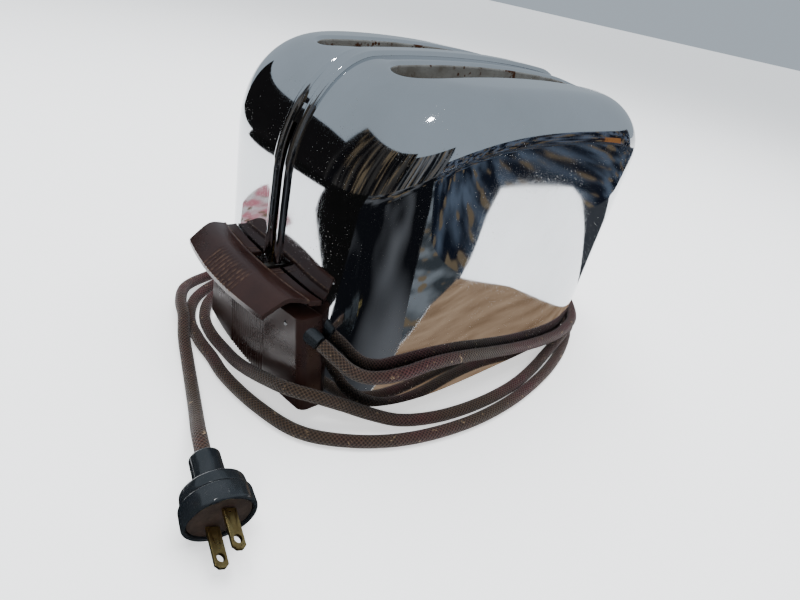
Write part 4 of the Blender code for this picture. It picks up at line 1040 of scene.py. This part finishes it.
def roundCard(name, azimuths, heights, distance, build):
    # an upright strip of a cylinder about the object
    turn = np.radians(np.linspace(*azimuths, 17))
    points = [(distance * math.cos(a), distance * math.sin(a), h) for h in heights for a in turn]
    return stageMesh(name, points, gridQuads(2, 17).tolist(), cardMaterial(name, build))


def areaLight(name, place, target, size, power, colour, spread=math.pi):
    data = bpy.data.lights.new(name, "AREA")
    data.shape, data.size, data.size_y = "RECTANGLE", size[0], size[1]
    data.energy, data.color, data.spread = power, colour, spread
    lamp = bpy.data.objects.new(name, data)
    lamp.location = place
    lamp.rotation_euler = (Vector(target) - Vector(place)).to_track_quat("-Z", "Y").to_euler()
    bpy.context.scene.collection.objects.link(lamp)
    return lamp


floorMat = startFinish("paleFloor", Base_Color=(0.90, 0.90, 0.90, 1), Roughness=0.9,
                       Emission_Color=(1, 1, 1, 1), Emission_Strength=0.8)[0]
stageMesh("floor", [(-60, -60, 0), (60, -60, 0), (60, 60, 0), (-60, 60, 0)], [[0, 1, 2, 3]], floorMat,
          glossyOnly=False)


def woodCard(tree, glow):
    # boards seen at a slant: long noise for the grain and darker narrow gaps between the boards
    place = tree.nodes.new("ShaderNodeTexCoord").outputs["Object"]
    long = mapped(tree, place, Rotation=(0, 0, math.radians(60)), Scale=(4.0, 46.0, 1.0))
    grain = texture(tree, "Noise", long, Scale=2.2, Detail=6.0, Roughness=0.65)
    base = colourMix(tree, ramp(tree, grain.outputs["Fac"], 0.34, 0.66), (0.30, 0.19, 0.115),
                     (0.62, 0.44, 0.30))
    tree.links.new(base, glow.inputs["Color"])
    glow.inputs["Strength"].default_value = 0.9


floorCard("tableCard", [(-124, -60), (-109, -94), (-74, -157), (-14, -198), (50, -231), (123, -168), (174, -46),
                        (150, 60), (-100, 60)], woodCard)
floorCard("greyCard", [(470, -310), (600, -200), (436, -60), (208, -59)],
          plainCard((0.10, 0.11, 0.13), 0.6), 0.0004)
shelves = stripedCard((0.010, 0.014, 0.026), (0.13, 0.17, 0.24), 0.8, 6.0, (2.5, 1.0, 1.0), (0.42, 0.66))
floorCard("beyondSheet", [(60, -215), (107, -245), (199, -320), (300, -383), (472, -327), (1500, -560),
                          (900, -1400), (-200, -1500), (-120, -700), (-20, -330)], shelves, 0.0005)
floorCard("farCorner", [(472, -327), (420, -250), (600, -120), (1500, 100), (1500, -560)], shelves, 0.00055)
floorCard("frontCard", [(-109, -94), (-112, -30), (-300, -30), (-1300, -60), (-1300, -1300), (-180, -1500),
                        (-60, -420), (-74, -157)],
          stripedCard((0.008, 0.009, 0.012), (0.20, 0.21, 0.23), 0.8, 3.2, (1.0, 1.0, 1.0)), 0.0006)
floorCard("middleCard", [(-74, -157), (-14, -198), (70, -222), (-20, -330), (-110, -700), (-60, -420)],
          stripedCard((0.05, 0.06, 0.07), (0.24, 0.27, 0.30), 0.9, 9.0, (1.0, 3.0, 1.0)), 0.00065)
floorCard("blackCard", [(-150, 30), (-260, 40), (-330, 200), (-600, 420), (-380, 760), (-700, 1300),
                        (-1500, 1200), (-1400, -60), (-300, -60)],
          plainCard((0.012, 0.012, 0.012), 0.6), 0.0005)
floorCard("pinkCard", [(-190, 150), (-262, 190), (-290, 300), (-180, 260), (-150, 190)],
          stripedCard((0.70, 0.26, 0.32), (0.85, 0.80, 0.82), 1.0, 8.0, (2.0, 6.0, 1.0)), 0.0007)
roundCard("darkBack", (140, 215), (0.0, 1.0), 1.3,
          stripedCard((0.008, 0.008, 0.010), (0.09, 0.085, 0.08), 0.8, 6.0, (2.0, 2.0, 0.1)))
roundCard("stripesCard", (213, 264), (0.0, 0.85), 1.3,
          stripedCard((0.008, 0.010, 0.013), (0.24, 0.25, 0.27), 0.9, 7.0, (2.0, 2.0, 0.08)))
roundCard("shelvesCard", (262, 350), (0.0, 0.36), 1.5,
          stripedCard((0.010, 0.014, 0.026), (0.16, 0.20, 0.28), 0.8, 7.0, (2.0, 2.0, 1.2)))
roundCard("warmSpot", (331, 338), (0.02, 0.16), 1.4, plainCard((0.50, 0.22, 0.08), 0.8))
roundCard("darkLeft", (95, 140), (0.0, 0.6), 1.4, plainCard((0.016, 0.015, 0.016), 0.7))

overhead = areaLight("overhead", (0.15, 0.1, 1.6), (0, 0, 0.1), (1.8, 1.4), 60.0, (0.97, 0.98, 1.0))
front = areaLight("front", (-1.3, -1.5, 1.5), (0, 0, 0.1), (0.7, 0.7), 22.0, (1.0, 0.98, 0.95))
overhead.visible_glossy = front.visible_glossy = False
areaLight("lampSpot", (-0.62, -0.02, 2.3), (0, 0, 0.1), (0.10, 0.16), 5.0, (1.0, 1.0, 1.0))

world = bpy.data.worlds.new("studio")
world.use_nodes = True
surroundings = world.node_tree.nodes["Background"].inputs
surroundings["Color"].default_value, surroundings["Strength"].default_value = (0.66, 0.76, 0.86, 1), 0.62
bpy.context.scene.world = world

cameraData = bpy.data.cameras.new("camera")
cameraData.lens, cameraData.sensor_width = 23.98, 36.0
camera = bpy.data.objects.new("camera", cameraData)
right, down, forward = ((0.7474412606, -0.6367573416, 0.1893981254),
                        (-0.2119540864, -0.4987720520, -0.8404176970),
                        (0.6296086302, 0.5880191562, -0.5077661319))
camera.matrix_world = Matrix([(right[i], -down[i], -forward[i], place) for i, place in
                              enumerate((-0.2610667, -0.2350822, 0.2201689))] + [(0, 0, 0, 1)])
bpy.context.scene.collection.objects.link(camera)
bpy.context.scene.camera = camera
print("stage made")
